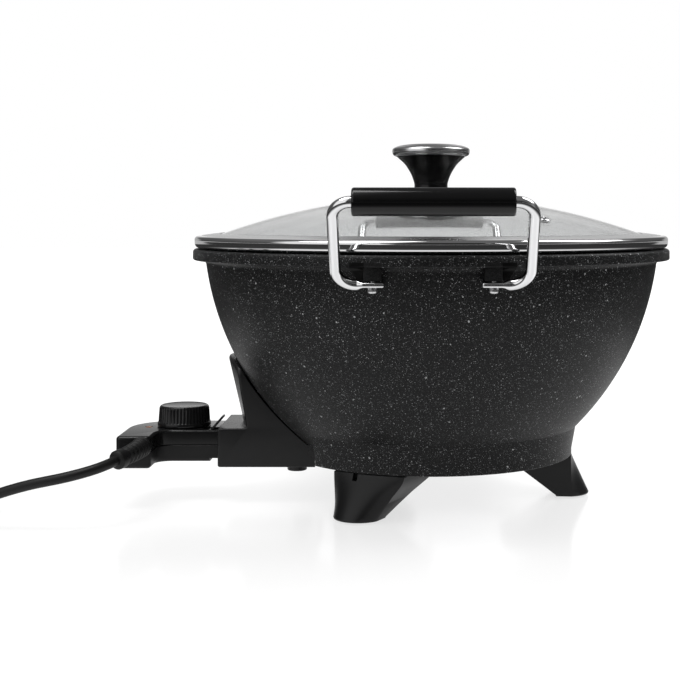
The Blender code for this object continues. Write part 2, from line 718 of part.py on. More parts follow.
def make_leg(name, angle):
    """One leg with its foot pad and its screw, turned to its place."""
    turn = Matrix.Rotation(math.radians(angle), 4, "Z")
    top = RING_BOTTOM - FIT_GAP
    bottom = PAD_STAND_OFF
    sections = [leg_section(0, 0, bottom, LEG_FOOT_EDGE)]
    for rise, flare in zip(LEG_RISE_SHARES, LEG_FLARE_SHARES):
        height = mixed(bottom + LEG_FOOT_EDGE, top, rise)
        sections.append(leg_section(rise, flare, height))
    shape = lofted(sections)
    bmesh.ops.transform(shape, matrix=turn, verts=shape.verts)
    leg = add_piece("leg_" + name, shape, "black_plastic", ROOT)
    notch = block((RING_RADIUS - LEG_NOTCH_DEPTH, -LEG_NOTCH_HALF_WIDTH, top - LEG_NOTCH_HEIGHT),
                  (RING_RADIUS + CUT_OVERRUN * 2, LEG_NOTCH_HALF_WIDTH, top + CUT_OVERRUN))
    head_room = SCREW_HEAD_RADIUS + BOSS_CLEARANCE * 2
    screw_low = Vector((LEG_BOSS_RADIAL, 0, -CUT_OVERRUN))
    shoulder = Vector((LEG_BOSS_RADIAL, 0, LEG_SCREW_SHOULDER))
    recess = rod(screw_low, shoulder, head_room, SMALL_SIDES)
    drill_top = Vector((LEG_BOSS_RADIAL, 0, top + CUT_OVERRUN))
    drill = rod(shoulder - Vector((0, 0, JOIN_DEPTH)), drill_top, SCREW_RADIUS + FIT_GAP,
                SCREW_SIDES)
    pad_hole = rod((PAD_RADIAL, 0, -CUT_OVERRUN), (PAD_RADIAL, 0, bottom + PAD_RECESS),
                   PAD_RADIUS + FIT_GAP, SMALL_SIDES)
    for tool, label in ((merged([notch, recess, pad_hole]), "_recess"), (drill, "_drill")):
        bmesh.ops.transform(tool, matrix=turn, verts=tool.verts)
        combine(leg, tool, "DIFFERENCE", "leg_" + name + label)
    pad_edge = PAD_STAND_OFF / 2
    pad_top = bottom + PAD_RECESS - FIT_GAP
    outline = [(0, 0), (PAD_RADIUS - pad_edge, 0), (PAD_RADIUS, pad_edge),
               (PAD_RADIUS, pad_top), (0, pad_top)]
    place = round_the_axis(PAD_RADIAL, angle, 0)
    add_piece("foot_pad_" + name, turned(outline, SMALL_SIDES, (place.x, place.y)),
              "black_rubber", ROOT)
    place = round_the_axis(LEG_BOSS_RADIAL, angle, 0)
    tip = FLOOR_TOP - FLOOR_THICKNESS - JOIN_DEPTH
    fixing = screw(tip, LEG_SCREW_SHOULDER - FIT_GAP, SCREW_RADIUS, SCREW_HEAD_RADIUS,
                   SCREW_HEAD_HEIGHT, (place.x, place.y))
    add_piece("leg_screw_" + name, fixing, "steel", ROOT)


# Socket housing: a box under the bowl with a fin that follows its wall
HOUSING_HALF_WIDTH = 0.033
HOUSING_TO_COVER = 0.0015
HOUSING_INNER_X = COVER_CHORD_X + HOUSING_TO_COVER
HOUSING_OUTER_X = 0.145
HOUSING_BOTTOM = 0.0248
HOUSING_TOP = 0.0508
HOUSING_WALL = 0.0024
HOUSING_EDGE = 0.0012
HOUSING_TOE = 0.003
HOUSING_TO_BOWL = 0.0012
FIN_FOOT_X = 0.132
FIN_FOOT_HEIGHT = 0.056
FIN_LEAN_SHARE = 0.246
FIN_FILLET = 0.004
FIN_TOP = 0.0984
FIN_SIDE_TOP = 0.0885
FIN_SAG_FOOT = 0.0055
FIN_SAG_TOP = 0.009
FIN_EDGE = 0.002
HOUSING_STATION_SHARES = (-1, -0.96, -0.78, -0.42, 0, 0.42, 0.78, 0.96, 1)
POST_X = 0.092
POST_Y = 0.022
POST_RADIUS = 0.004
POST_DRILL_TOP = 0.0375
HOUSING_BOSS_RADIUS = 0.0067
HOUSING_BOSS_BOTTOM = 0.0210
SOCKET_CLEARANCE = 0.0006


def housing_section(share, wall):
    """The housing's side outline at a share of its half width, or the
    outline of its hollow when a wall is given."""
    y = share * (HOUSING_HALF_WIDTH - wall)
    inset = HOUSING_EDGE if abs(share) == 1 and not wall else 0
    end = HOUSING_OUTER_X - wall - inset
    low = HOUSING_BOTTOM + wall + inset
    high = HOUSING_TOP - wall - inset
    inner = HOUSING_INNER_X - (CUT_OVERRUN if wall else 0)
    crown = FIN_SIDE_TOP + (FIN_TOP - FIN_SIDE_TOP) * math.sqrt(1 - share ** 2) - wall
    toe = HOUSING_TOE if not wall else 0
    points = [(inner, low), (end - toe / 2, low), (end, low + toe), (end, high - toe / 2),
              (end - toe / 2, high)]

    def fin_x(height):
        climb = (height - FIN_FOOT_HEIGHT) / (FIN_TOP - FIN_FOOT_HEIGHT)
        sag = mixed(FIN_SAG_FOOT, FIN_SAG_TOP, climb) * share ** 2
        return FIN_FOOT_X + (height - FIN_FOOT_HEIGHT) * FIN_LEAN_SHARE - sag - wall - inset

    foot = fin_x(high)
    points += [(foot + FIN_FILLET, high), (foot + FIN_FILLET / 4, high + FIN_FILLET / 4),
               (fin_x(high + FIN_FILLET), high + FIN_FILLET)]
    for step in range(1, 4):
        height = mixed(high + FIN_FILLET, crown - FIN_EDGE, step / 3)
        points.append((fin_x(height), height))
    points += [(fin_x(crown) - FIN_EDGE / 3, crown - FIN_EDGE / 3),
               (fin_x(crown) - FIN_EDGE, crown), (inner, crown)]
    return [Vector((-x, y, z)) for x, z in points]


def housing_posts():
    """Two posts cast under the bowl that the housing screws up into."""
    low = HOUSING_BOTTOM + HOUSING_WALL + FIT_GAP
    high = FLOOR_TOP - FLOOR_THICKNESS
    posts = merged([rod((-POST_X, side * POST_Y, low), (-POST_X, side * POST_Y, high),
                        POST_RADIUS, SMALL_SIDES) for side in (-1, 1)])
    return run_into_bowl(posts, low)


def make_housing():
    """The moulded housing, hollow towards the bowl, and its two screws."""
    shape = lofted([housing_section(share, 0) for share in HOUSING_STATION_SHARES])
    housing = add_piece("socket_housing", shape, "black_plastic", ROOT)
    bosses = []
    for side in (-1, 1):
        bosses.append(rod((-POST_X, side * POST_Y, HOUSING_BOSS_BOTTOM),
                          (-POST_X, side * POST_Y, HOUSING_BOTTOM + JOIN_DEPTH),
                          HOUSING_BOSS_RADIUS, SMALL_SIDES))
    combine(housing, merged(bosses), "UNION", "housing_boss_guide")
    hollow = [housing_section(share, HOUSING_WALL) for share in HOUSING_STATION_SHARES]
    combine(housing, lofted(hollow), "DIFFERENCE", "housing_hollow_cutter")
    under = FLOOR_TOP - FLOOR_THICKNESS - FIT_GAP
    reach = FIN_TOP + CUT_OVERRUN * 2
    outline = [(0, under), (wall_radius(under) + HOUSING_TO_BOWL, under)]
    for step in range(1, WALL_ROWS + 1):
        height = mixed(under, reach, step / WALL_ROWS)
        outline.append((wall_radius(height) + HOUSING_TO_BOWL, height))
    outline.append((0, reach))
    combine(housing, turned(outline, LARGE_SIDES), "DIFFERENCE", "housing_bowl_cutter")
    gap = SOCKET_CLEARANCE
    cuts = [block((-HOUSING_OUTER_X - CUT_OVERRUN, -NOSE_HALF_WIDTH - gap, NOSE_BOTTOM - gap),
                  (-HOUSING_OUTER_X + HOUSING_WALL + CUT_OVERRUN, NOSE_HALF_WIDTH + gap,
                   NOSE_TOP + gap))]
    head_room = SCREW_HEAD_RADIUS + BOSS_CLEARANCE
    head_top = HOUSING_BOTTOM
    for side in (-1, 1):
        base = Vector((-POST_X, side * POST_Y, head_top))
        cuts.append(rod(base - Vector((0, 0, SCREW_REACH)), base, head_room, SMALL_SIDES))
    combine(housing, merged(cuts), "DIFFERENCE", "housing_socket_cutter")
    drills = []
    for side in (-1, 1):
        base = Vector((-POST_X, side * POST_Y, head_top - JOIN_DEPTH))
        drills.append(rod(base, base + Vector((0, 0, SCREW_REACH)), SCREW_RADIUS + FIT_GAP,
                          SCREW_SIDES))
        fixing = screw(head_top + SCREW_REACH + SCREW_REACH / 2, head_top - FIT_GAP,
                       SCREW_RADIUS, SCREW_HEAD_RADIUS, SCREW_HEAD_HEIGHT,
                       (-POST_X, side * POST_Y))
        label = "front" if side < 0 else "rear"
        add_piece("housing_screw_" + label, fixing, "steel", ROOT)
    combine(housing, merged(drills), "DIFFERENCE", "housing_drill")


# Inlet: a terminal block in the housing with the two contact pins
BLOCK_OUTER_X = 0.126
BLOCK_INNER_X = 0.112
BLOCK_HALF_WIDTH = 0.019
BLOCK_TOP = 0.045
BLOCK_EDGE = 0.0008
PIN_RADIUS = 0.0025
PIN_TIP_X = 0.1425


def make_inlet():
    """The block stands on the housing's floor and holds two pins, with the
    probe's way in between them."""
    floor = HOUSING_BOTTOM + HOUSING_WALL + FIT_GAP
    shape = block((-BLOCK_OUTER_X, -BLOCK_HALF_WIDTH, floor),
                  (-BLOCK_INNER_X, BLOCK_HALF_WIDTH, BLOCK_TOP), BLOCK_EDGE, 1)
    inlet = add_piece("inlet_block", shape, "ceramic", ROOT)
    start = -BLOCK_OUTER_X - CUT_OVERRUN
    end = -BLOCK_INNER_X + CUT_OVERRUN
    cuts = [rod((start, 0, PROBE_HEIGHT), (end, 0, PROBE_HEIGHT),
                PROBE_RADIUS + SOCKET_CLEARANCE, SMALL_SIDES)]
    for side, label in ((-1, "front"), (1, "rear")):
        y = side * HEATER_TAIL_Y
        cuts.append(rod((start, y, PROBE_HEIGHT), (end, y, PROBE_HEIGHT),
                        PIN_RADIUS + FIT_GAP, SMALL_SIDES))
        tip = PIN_RADIUS * 0.8
        outline = [(0, 0), (PIN_RADIUS, 0), (PIN_RADIUS, PIN_TIP_X - BLOCK_INNER_X - tip)]
        outline += [(PIN_RADIUS * 0.75, PIN_TIP_X - BLOCK_INNER_X - tip / 3),
                    (0, PIN_TIP_X - BLOCK_INNER_X)]
        pin = turned(outline, SMALL_SIDES)
        turn = Matrix.Translation((-BLOCK_INNER_X, y, PROBE_HEIGHT))
        turn = turn @ Matrix.Rotation(-math.pi / 2, 4, "Y")
        bmesh.ops.transform(pin, matrix=turn, verts=pin.verts)
        add_piece("inlet_pin_" + label, pin, "brass", ROOT)
    combine(inlet, merged(cuts), "DIFFERENCE", "inlet_block_drill")


# Controller: two shells that form an elbow, with a nose, contacts and probe
CONTROLLER_FACE_X = HOUSING_OUTER_X + FIT_GAP
CONTROLLER_FRONT_Y = 0.0245
CONTROLLER_REAR_Y = 0.021
CONTROLLER_BOTTOM = 0.0270
CONTROLLER_TOP = 0.0485
PARTING_HEIGHT = 0.0382
TAIL_LEFT_X = 0.2103
TAIL_RIGHT_X = 0.187
TAIL_FRONT_Y = 0.0515
TAIL_CORNER = 0.003
ELBOW_INNER = 0.010
ELBOW_OUTER = 0.033
SHELL_EDGE = 0.0022
SHELL_EDGE_SHARES = ((1, 0), (0.45, 0.18), (0.12, 0.5), (0, 1))
SHELL_WALL = 0.0023
HOLLOW_FACE_X = 0.156
STEP_X = 0.1517
STEP_HEIGHT = 0.0293
NOSE_HALF_WIDTH = 0.0175
NOSE_BOTTOM = 0.0305
NOSE_TOP = 0.0435
NOSE_BACK_X = 0.1505
NOSE_TIP_X = 0.1313
NOSE_EDGE = 0.001
SLEEVE_RADIUS = 0.0039
SLEEVE_BACK_X = 0.158
SLEEVE_FRONT_X = 0.1323
THERMOSTAT_BACK_X = 0.184
THERMOSTAT_HALF_WIDTH = 0.0165
THERMOSTAT_TOP = 0.0412


def controller_outline(face_x):
    """The elbow in plan, from a face on the socket side round the bent
    tail and back."""
    front = -CONTROLLER_FRONT_Y
    outline = [(-face_x, front)]
    outline += arc((-TAIL_RIGHT_X + ELBOW_INNER, front - ELBOW_INNER), ELBOW_INNER, 90, 180, 4)
    tail_y = TAIL_CORNER - TAIL_FRONT_Y
    outline += arc((-TAIL_RIGHT_X - TAIL_CORNER, tail_y), TAIL_CORNER, 0, -90, 2)
    outline += arc((-TAIL_LEFT_X + TAIL_CORNER, tail_y), TAIL_CORNER, -90, -180, 2)
    centre = (-TAIL_LEFT_X + ELBOW_OUTER, CONTROLLER_REAR_Y - ELBOW_OUTER)
    outline += arc(centre, ELBOW_OUTER, 180, 90, 6)
    outline.append((-face_x, CONTROLLER_REAR_Y))
    return outline


def inset(outline, distance):
    """An outline that runs clockwise, moved inwards by a distance."""
    moved = []
    count = len(outline)
    for index, point in enumerate(outline):
        here = Vector(point)
        before = (here - Vector(outline[index - 1])).normalized()
        after = (Vector(outline[(index + 1) % count]) - here).normalized()
        normal = Vector((before.y + after.y, -before.x - after.x)).normalized()
        reach = distance / max(0.5, normal.dot(Vector((before.y, -before.x))))
        moved.append(tuple(here + normal * reach))
    return moved


def shell_levels(edge_height, split_height):
    """Heights and insets from a shell's rounded outer edge to its parting
    face."""
    toward = math.copysign(1, split_height - edge_height)
    levels = [(edge_height + toward * SHELL_EDGE * rise, SHELL_EDGE * shrink)
              for shrink, rise in SHELL_EDGE_SHARES]
    return levels + [(split_height, 0)]


def make_shell(name, edge_height, split_height, anchor, extra_cuts):
    """One half of the controller's case, hollow behind its solid front."""
    outline = controller_outline(CONTROLLER_FACE_X)
    sections = []
    for height, shrink in shell_levels(edge_height, split_height):
        sections.append([Vector((x, y, height)) for x, y in inset(outline, shrink)])
    shell = add_piece(name, lofted(sections), "black_plastic", anchor)
    toward = math.copysign(1, split_height - edge_height)
    hollow = inset(controller_outline(HOLLOW_FACE_X), SHELL_WALL)
    start = edge_height + toward * SHELL_WALL
    end = split_height + toward * CUT_OVERRUN
    combine(shell, prism(hollow, min(start, end), max(start, end)), "DIFFERENCE",
            name + "_hollow_cutter")
    gap = FIT_GAP
    combine(shell, block((-NOSE_BACK_X - gap, -NOSE_HALF_WIDTH - gap, NOSE_BOTTOM - gap),
                         (-CONTROLLER_FACE_X + CUT_OVERRUN, NOSE_HALF_WIDTH + gap,
                          NOSE_TOP + gap)), "DIFFERENCE", name + "_nose_cutter")
    bores = []
    for y, radius in ((-HEATER_TAIL_Y, SLEEVE_RADIUS), (0, PROBE_RADIUS),
                      (HEATER_TAIL_Y, SLEEVE_RADIUS)):
        start = (-SLEEVE_BACK_X, y, PROBE_HEIGHT)
        end = (-NOSE_BACK_X + CUT_OVERRUN, y, PROBE_HEIGHT)
        bores.append(rod(start, end, radius + SOCKET_CLEARANCE, SMALL_SIDES))
    combine(shell, merged(bores), "DIFFERENCE", name + "_bore_cutter")
    for index, cutter in enumerate(extra_cuts):
        combine(shell, cutter, "DIFFERENCE", name + "_cutter_" + str(index))
    return shell


def make_controller():
    """Case, nose, contact sleeves, probe and thermostat."""
    step = block((-STEP_X, -CONTROLLER_FRONT_Y - CUT_OVERRUN, CONTROLLER_BOTTOM - CUT_OVERRUN),
                 (-CONTROLLER_FACE_X + CUT_OVERRUN, CONTROLLER_REAR_Y + CUT_OVERRUN, STEP_HEIGHT))
    make_shell("controller_lower_shell", CONTROLLER_BOTTOM, PARTING_HEIGHT - FIT_GAP / 2,
               CONTROLLER, [step])
    shaft_hole = rod((-DIAL_X, DIAL_Y, CONTROLLER_TOP - SHELL_WALL * 2),
                     (-DIAL_X, DIAL_Y, CONTROLLER_TOP + CUT_OVERRUN),
                     SHAFT_RADIUS + FIT_GAP, SMALL_SIDES)
    lens_hole = rod((-LENS_X, LENS_Y, CONTROLLER_TOP - SHELL_WALL * 2),
                    (-LENS_X, LENS_Y, CONTROLLER_TOP + CUT_OVERRUN),
                    LENS_RADIUS + FIT_GAP, SMALL_SIDES)
    make_shell("controller_upper_shell", CONTROLLER_TOP, PARTING_HEIGHT + FIT_GAP / 2,
               CONTROLLER, [merged([shaft_hole, lens_hole]), lever_slot(),
                            along_pivot(PIVOT_HALF_LENGTH + FIT_GAP, PIVOT_RADIUS + FIT_GAP)])
    shape = block((-NOSE_BACK_X, -NOSE_HALF_WIDTH, NOSE_BOTTOM),
                  (-NOSE_TIP_X, NOSE_HALF_WIDTH, NOSE_TOP), NOSE_EDGE, 1)
    nose = add_piece("controller_nose", shape, "gloss_plastic", CONTROLLER)
    start = -NOSE_BACK_X - CUT_OVERRUN
    end = -NOSE_TIP_X + CUT_OVERRUN
    bores = [rod((start, 0, PROBE_HEIGHT), (end, 0, PROBE_HEIGHT), PROBE_RADIUS + FIT_GAP,
                 SMALL_SIDES)]
    for side, label in ((-1, "front"), (1, "rear")):
        y = side * HEATER_TAIL_Y
        bores.append(rod((start, y, PROBE_HEIGHT), (end, y, PROBE_HEIGHT),
                         SLEEVE_RADIUS + FIT_GAP, SMALL_SIDES))
        bore = PIN_RADIUS + FIT_GAP
        length = SLEEVE_BACK_X - SLEEVE_FRONT_X
        outline = [(bore, 0), (SLEEVE_RADIUS, 0), (SLEEVE_RADIUS, length), (bore, length)]
        sleeve = turned(outline, SMALL_SIDES)
        turn = Matrix.Translation((-SLEEVE_BACK_X, y, PROBE_HEIGHT))
        turn = turn @ Matrix.Rotation(math.pi / 2, 4, "Y")
        bmesh.ops.transform(sleeve, matrix=turn, verts=sleeve.verts)
        add_piece("contact_sleeve_" + label, sleeve, "brass", CONTROLLER)
    combine(nose, merged(bores), "DIFFERENCE", "controller_nose_drill")
    length = SLEEVE_BACK_X - PROBE_END_X
    tip = PROBE_RADIUS
    outline = [(0, 0), (PROBE_RADIUS, 0), (PROBE_RADIUS, length - tip)]
    outline += [(PROBE_RADIUS * 0.72, length - tip * 0.3), (0, length)]
    probe = turned(outline, SMALL_SIDES)
    turn = Matrix.Translation((-SLEEVE_BACK_X, 0, PROBE_HEIGHT))
    turn = turn @ Matrix.Rotation(math.pi / 2, 4, "Y")
    bmesh.ops.transform(probe, matrix=turn, verts=probe.verts)
    add_piece("heat_probe", probe, "steel", CONTROLLER)
    floor = CONTROLLER_BOTTOM + SHELL_WALL + FIT_GAP
    shape = block((-THERMOSTAT_BACK_X, -THERMOSTAT_HALF_WIDTH, floor),
                  (-SLEEVE_BACK_X - FIT_GAP, THERMOSTAT_HALF_WIDTH, THERMOSTAT_TOP),
                  BLOCK_EDGE, 1)
    add_piece("thermostat", shape, "ceramic", CONTROLLER)


# Dial: a ribbed knob on a steel shaft that stands in the thermostat
DIAL_X = 0.1727
DIAL_Y = -0.0025
DIAL_SKIRT_RADIUS = 0.0185
DIAL_RADIUS = 0.0172
DIAL_TOP = 0.0630
DIAL_SKIRT_HEIGHT = 0.0032
DIAL_EDGE = 0.001
DIAL_RIBS = 20
DIAL_RIB_DEPTH = 0.0006
SHAFT_RADIUS = 0.003
SHAFT_TOP_GAP = 0.004

# Indicator lens, flush in the top of the elbow
LENS_X = 0.196
LENS_Y = -0.010
LENS_RADIUS = 0.0025
LENS_PROUD = 0.0004

# Ejector lever: a blade on a pin in a slot near the front of the upper shell
LEVER_PIVOT_X = 0.1528
LEVER_Y = -0.0160
LEVER_PIVOT_HEIGHT = 0.0462
LEVER_HUB_RADIUS = 0.0019
LEVER_TIP_X = 0.1436
LEVER_TIP_HEIGHT = 0.0567
LEVER_THICKNESS = 0.0016
LEVER_HALF_WIDTH = 0.0047
LEVER_SLOT_BACK = 0.0042
LEVER_SLOT_FLOOR = 0.0441
PIVOT_RADIUS = 0.001
PIVOT_HALF_LENGTH = 0.0068
LEVER_CLEARANCE = 0.0004


def lever_slot():
    """The slot that the lever turns in, open upwards and to the socket."""
    half = LEVER_HALF_WIDTH + LEVER_CLEARANCE
    return block((-LEVER_PIVOT_X - LEVER_SLOT_BACK, LEVER_Y - half, LEVER_SLOT_FLOOR),
                 (-CONTROLLER_FACE_X + CUT_OVERRUN, LEVER_Y + half,
                  CONTROLLER_TOP + CUT_OVERRUN))


def along_pivot(half_length, radius):
    """A rod on the axis that the lever turns about."""
    return rod((-LEVER_PIVOT_X, LEVER_Y - half_length, LEVER_PIVOT_HEIGHT),
               (-LEVER_PIVOT_X, LEVER_Y + half_length, LEVER_PIVOT_HEIGHT), radius, SCREW_SIDES)


def make_lever():
    """The blade, with a round hub and a short nose, and its pin."""
    pivot = Vector((-LEVER_PIVOT_X, LEVER_PIVOT_HEIGHT))
    tip = Vector((-LEVER_TIP_X, LEVER_TIP_HEIGHT))
    along = (tip - pivot).normalized()
    lean = math.degrees(math.atan2(along.y, along.x))
    half_turn = math.degrees(math.asin(min(1, LEVER_THICKNESS / 2 / LEVER_HUB_RADIUS)))
    outline = arc(pivot, LEVER_HUB_RADIUS, lean + half_turn, lean + 360 - half_turn, 12)
    outline += arc(tip, LEVER_THICKNESS / 2, lean - 90, lean + 90, 4)
    half = LEVER_HALF_WIDTH
    shape = side_prism(outline, LEVER_Y - half, LEVER_Y + half)
    origin = (-LEVER_PIVOT_X, LEVER_Y, LEVER_PIVOT_HEIGHT)
    lever = add_piece("ejector_lever", shape, "black_plastic", LEVER, origin)
    combine(lever, along_pivot(half + CUT_OVERRUN, PIVOT_RADIUS + FIT_GAP), "DIFFERENCE",
            "ejector_lever_drill")
    add_piece("lever_pin", along_pivot(PIVOT_HALF_LENGTH, PIVOT_RADIUS), "steel", CONTROLLER)


def make_dial():
    """The ribbed dial, its shaft and the lens beside it."""
    bottom = CONTROLLER_TOP + FIT_GAP
    grip_foot = bottom + DIAL_SKIRT_HEIGHT
    count = DIAL_RIBS * 2
    sections = []
    levels = [(bottom, DIAL_SKIRT_RADIUS - DIAL_EDGE / 2, 0),
              (bottom + DIAL_EDGE / 2, DIAL_SKIRT_RADIUS, 0),
              (grip_foot - DIAL_EDGE / 2, DIAL_SKIRT_RADIUS, 0),
              (grip_foot, DIAL_RADIUS, DIAL_RIB_DEPTH),
              (DIAL_TOP - DIAL_EDGE, DIAL_RADIUS - DIAL_EDGE / 4, DIAL_RIB_DEPTH),
              (DIAL_TOP - DIAL_EDGE / 4, DIAL_RADIUS - DIAL_EDGE, 0),
              (DIAL_TOP, DIAL_RADIUS - DIAL_EDGE * 2, 0)]
    for height, radius, depth in levels:
        section = []
        for index in range(count):
            angle = math.tau * index / count
            reach = radius - depth * (index % 2)
            section.append(Vector((-DIAL_X + reach * math.cos(angle),
                                   DIAL_Y + reach * math.sin(angle), height)))
        sections.append(section)
    dial = add_piece("dial", lofted(sections), "black_plastic", DIAL)
    shaft_top = DIAL_TOP - SHAFT_TOP_GAP
    combine(dial, rod((-DIAL_X, DIAL_Y, bottom - CUT_OVERRUN), (-DIAL_X, DIAL_Y, shaft_top + FIT_GAP),
                      SHAFT_RADIUS + FIT_GAP, SMALL_SIDES), "DIFFERENCE", "dial_bore_cutter")
    shaft = rod((-DIAL_X, DIAL_Y, THERMOSTAT_TOP + FIT_GAP), (-DIAL_X, DIAL_Y, shaft_top),
                SHAFT_RADIUS, SMALL_SIDES)
    add_piece("dial_shaft", shaft, "steel", DIAL)
    base = CONTROLLER_TOP - SHELL_WALL
    outline = [(0, base), (LENS_RADIUS, base), (LENS_RADIUS, CONTROLLER_TOP),
               (LENS_RADIUS * 0.7, CONTROLLER_TOP + LENS_PROUD), (0, CONTROLLER_TOP + LENS_PROUD)]
    add_piece("indicator_lens", turned(outline, SMALL_SIDES, (-LENS_X, LENS_Y)),
              "amber_lens", CONTROLLER)


# Strain-relief boot: a ribbed sleeve that bends with the lead
BOOT_BASE_RADIUS = 0.0066
BOOT_END_RADIUS = 0.0051
BOOT_NECK_RADIUS = 0.0042
BOOT_STEPS = 5
BOOT_RIB_STEPS = 3
BOOT_GROOVE_DEPTH = 0.0012
BOOT_COLLAR_SHARE = 0.15
BOOT_SIDES = 10

# Lead: the route that is seen, and the coil that the rest is put away in
CORD_RADIUS = 0.0033
BOOT_ROUTE = ((-0.1930, -0.0519, 0.0417), (-0.1930, -0.0600, 0.0417), (-0.1942, -0.0710, 0.0416),
              (-0.1963, -0.0805, 0.0412), (-0.1987, -0.0885, 0.0405))
CORD_ROUTE = ((-0.1989, -0.0888, 0.0405), (-0.2026, -0.0966, 0.0394), (-0.2095, -0.1040, 0.0373),
              (-0.2190, -0.1080, 0.0348), (-0.2320, -0.1095, 0.0318), (-0.2480, -0.1090, 0.0285),
              (-0.2620, -0.1080, 0.0248), (-0.2760, -0.1066, 0.0201), (-0.2890, -0.1053, 0.0146),
              (-0.3010, -0.1044, 0.0092), (-0.3115, -0.1040, 0.0054), (-0.3210, -0.1040, 0.0037),
              (-0.3284, -0.1040, 0.0036))
CORD_POINTS_PER_SPAN = 2
COIL_CENTRE = (-0.3353, -0.0600)
COIL_OUTER_RADIUS = 0.0440
COIL_PITCH = 0.0073
COIL_LAYER_RISE = 0.0072
COIL_TURNS_IN = 2
COIL_TURNS_OUT = 1.75
COIL_CLIMB_TURNS = 0.5
COIL_TURN_POINTS = 24
COIL_FLOOR_GAP = 0.0003


def smooth_through(points, per_span):
    """Points on one smooth curve through the given ones."""
    places = [Vector(point) for point in points]
    places = [places[0] * 2 - places[1]] + places + [places[-1] * 2 - places[-2]]
    curve = []
    for index in range(1, len(places) - 2):
        a, b, c, d = places[index - 1:index + 3]
        for step in range(per_span):
            t = step / per_span
            curve.append((b * 2 + (c - a) * t + (a * 2 - b * 5 + c * 4 - d) * t ** 2
                          + (b * 3 - a - c * 3 + d) * t ** 3) / 2)
    curve.append(places[-2])
    return curve


def path_length(path):
    """Length along a list of points."""
    return sum((after - before).length for before, after in zip(path, path[1:]))


def coil_path():
    """Two layers of turns: in along the table, up a layer while the spiral
    reverses, out again on top, then straight off towards the plug."""
    floor = CORD_RADIUS + COIL_FLOOR_GAP
    turns = COIL_TURNS_IN + COIL_CLIMB_TURNS + COIL_TURNS_OUT
    steps = round(turns * COIL_TURN_POINTS)
    start = Vector((COIL_CENTRE[0], COIL_CENTRE[1] - COIL_OUTER_RADIUS, floor))
    path = [start + Vector((CORD_RADIUS * 2, 0, 0))]
    for step in range(steps + 1):
        turn = turns * step / steps
        climb = min(1, max(0, (turn - COIL_TURNS_IN) / COIL_CLIMB_TURNS))
        inward = min(turn, COIL_TURNS_IN) + (climb - climb ** 2) * COIL_CLIMB_TURNS
        outward = max(0, turn - COIL_TURNS_IN - COIL_CLIMB_TURNS)
        radius = COIL_OUTER_RADIUS - COIL_PITCH * (inward - outward)
        height = floor + COIL_LAYER_RISE * climb ** 2 * (3 - climb * 2)
        angle = -math.pi / 2 - math.tau * turn
        path.append(Vector((COIL_CENTRE[0] + radius * math.cos(angle),
                            COIL_CENTRE[1] + radius * math.sin(angle), height)))
    return path


def lead_tube(name, path, resolution, anchor):
    """A round lead as a curve with a bevel, filled at its ends."""
    curve = bpy.data.curves.new(name, "CURVE")
    curve.dimensions = "3D"
    curve.bevel_depth = CORD_RADIUS
    curve.bevel_resolution = resolution
    curve.use_fill_caps = True
    spline = curve.splines.new("POLY")
    spline.points.add(len(path) - 1)
    for point, place in zip(spline.points, path):
        point.co = (*(place - anchor.place), 1)
    curve.materials.append(make_material(name, "black_rubber"))
    lead = bpy.data.objects.new(name, curve)
    bpy.context.collection.objects.link(lead)
    lead.parent = anchor.empty
    return lead


# Plug: a moulded round-pin mains plug that lies beside the coil
PLUG_GAP_Y = 0.034
PLUG_AXIS_HEIGHT = 0.0138
PLUG_HALF_WIDTH = 0.0180
PLUG_HALF_HEIGHT = 0.0135
PLUG_BODY_LENGTH = 0.034
PLUG_BOOT_LENGTH = 0.016
PLUG_BOOT_RADIUS = 0.0052
PLUG_NECK_RADIUS = 0.0072
PLUG_SIDES = 16
PLUG_PIN_RADIUS = 0.0024
PLUG_PIN_LENGTH = 0.019
PLUG_PIN_SPACING = 0.019
PLUG_PIN_SEAT = 0.006


def make_lead():
    """Boot, seen stretch of lead, coil, and plug with its two pins."""
    route = smooth_through(BOOT_ROUTE, BOOT_STEPS)
    length = path_length(route)
    sizes = []
    walked = 0
    for index, point in enumerate(route):
        if index:
            walked += (point - route[index - 1]).length
        share = walked / length
        radius = mixed(BOOT_BASE_RADIUS, BOOT_END_RADIUS, share)
        ribbed = index % BOOT_RIB_STEPS == 2 and share > BOOT_COLLAR_SHARE
        radius -= BOOT_GROOVE_DEPTH * ribbed
        sizes.append((radius, radius))
    sizes[-1] = (BOOT_NECK_RADIUS, BOOT_NECK_RADIUS)
    shape = swept(route, sizes, [0] * len(route), BOOT_SIDES, Vector((1, 0, 0)))
    add_piece("strain_relief_boot", shape, "black_rubber", CONTROLLER)
    visible = smooth_through(CORD_ROUTE, CORD_POINTS_PER_SPAN)
    coil = coil_path()
    exit_start = coil[-1]
    heading = (coil[-1] - coil[-2]).normalized()
    heading.z = 0
    plug_start = Vector((exit_start.x, exit_start.y + PLUG_GAP_Y, PLUG_AXIS_HEIGHT))
    straight = Vector((0, CORD_RADIUS * 2, 0))
    off = [exit_start + heading * CORD_RADIUS * 2, plug_start - straight * 2,
           plug_start - straight, plug_start]
    tail = smooth_through([exit_start] + off, 2)[1:]
    lead_tube("cord_lead", visible, 2, CONTROLLER)
    lead_tube("cord_coil", coil + tail, 1, CONTROLLER)
    print("lead length", round(path_length(route + visible + coil + tail), 4))
    print("coil's least gap to itself", round(least_self_gap(coil + tail), 5))
    make_plug(plug_start + Vector((0, FIT_GAP, 0)))


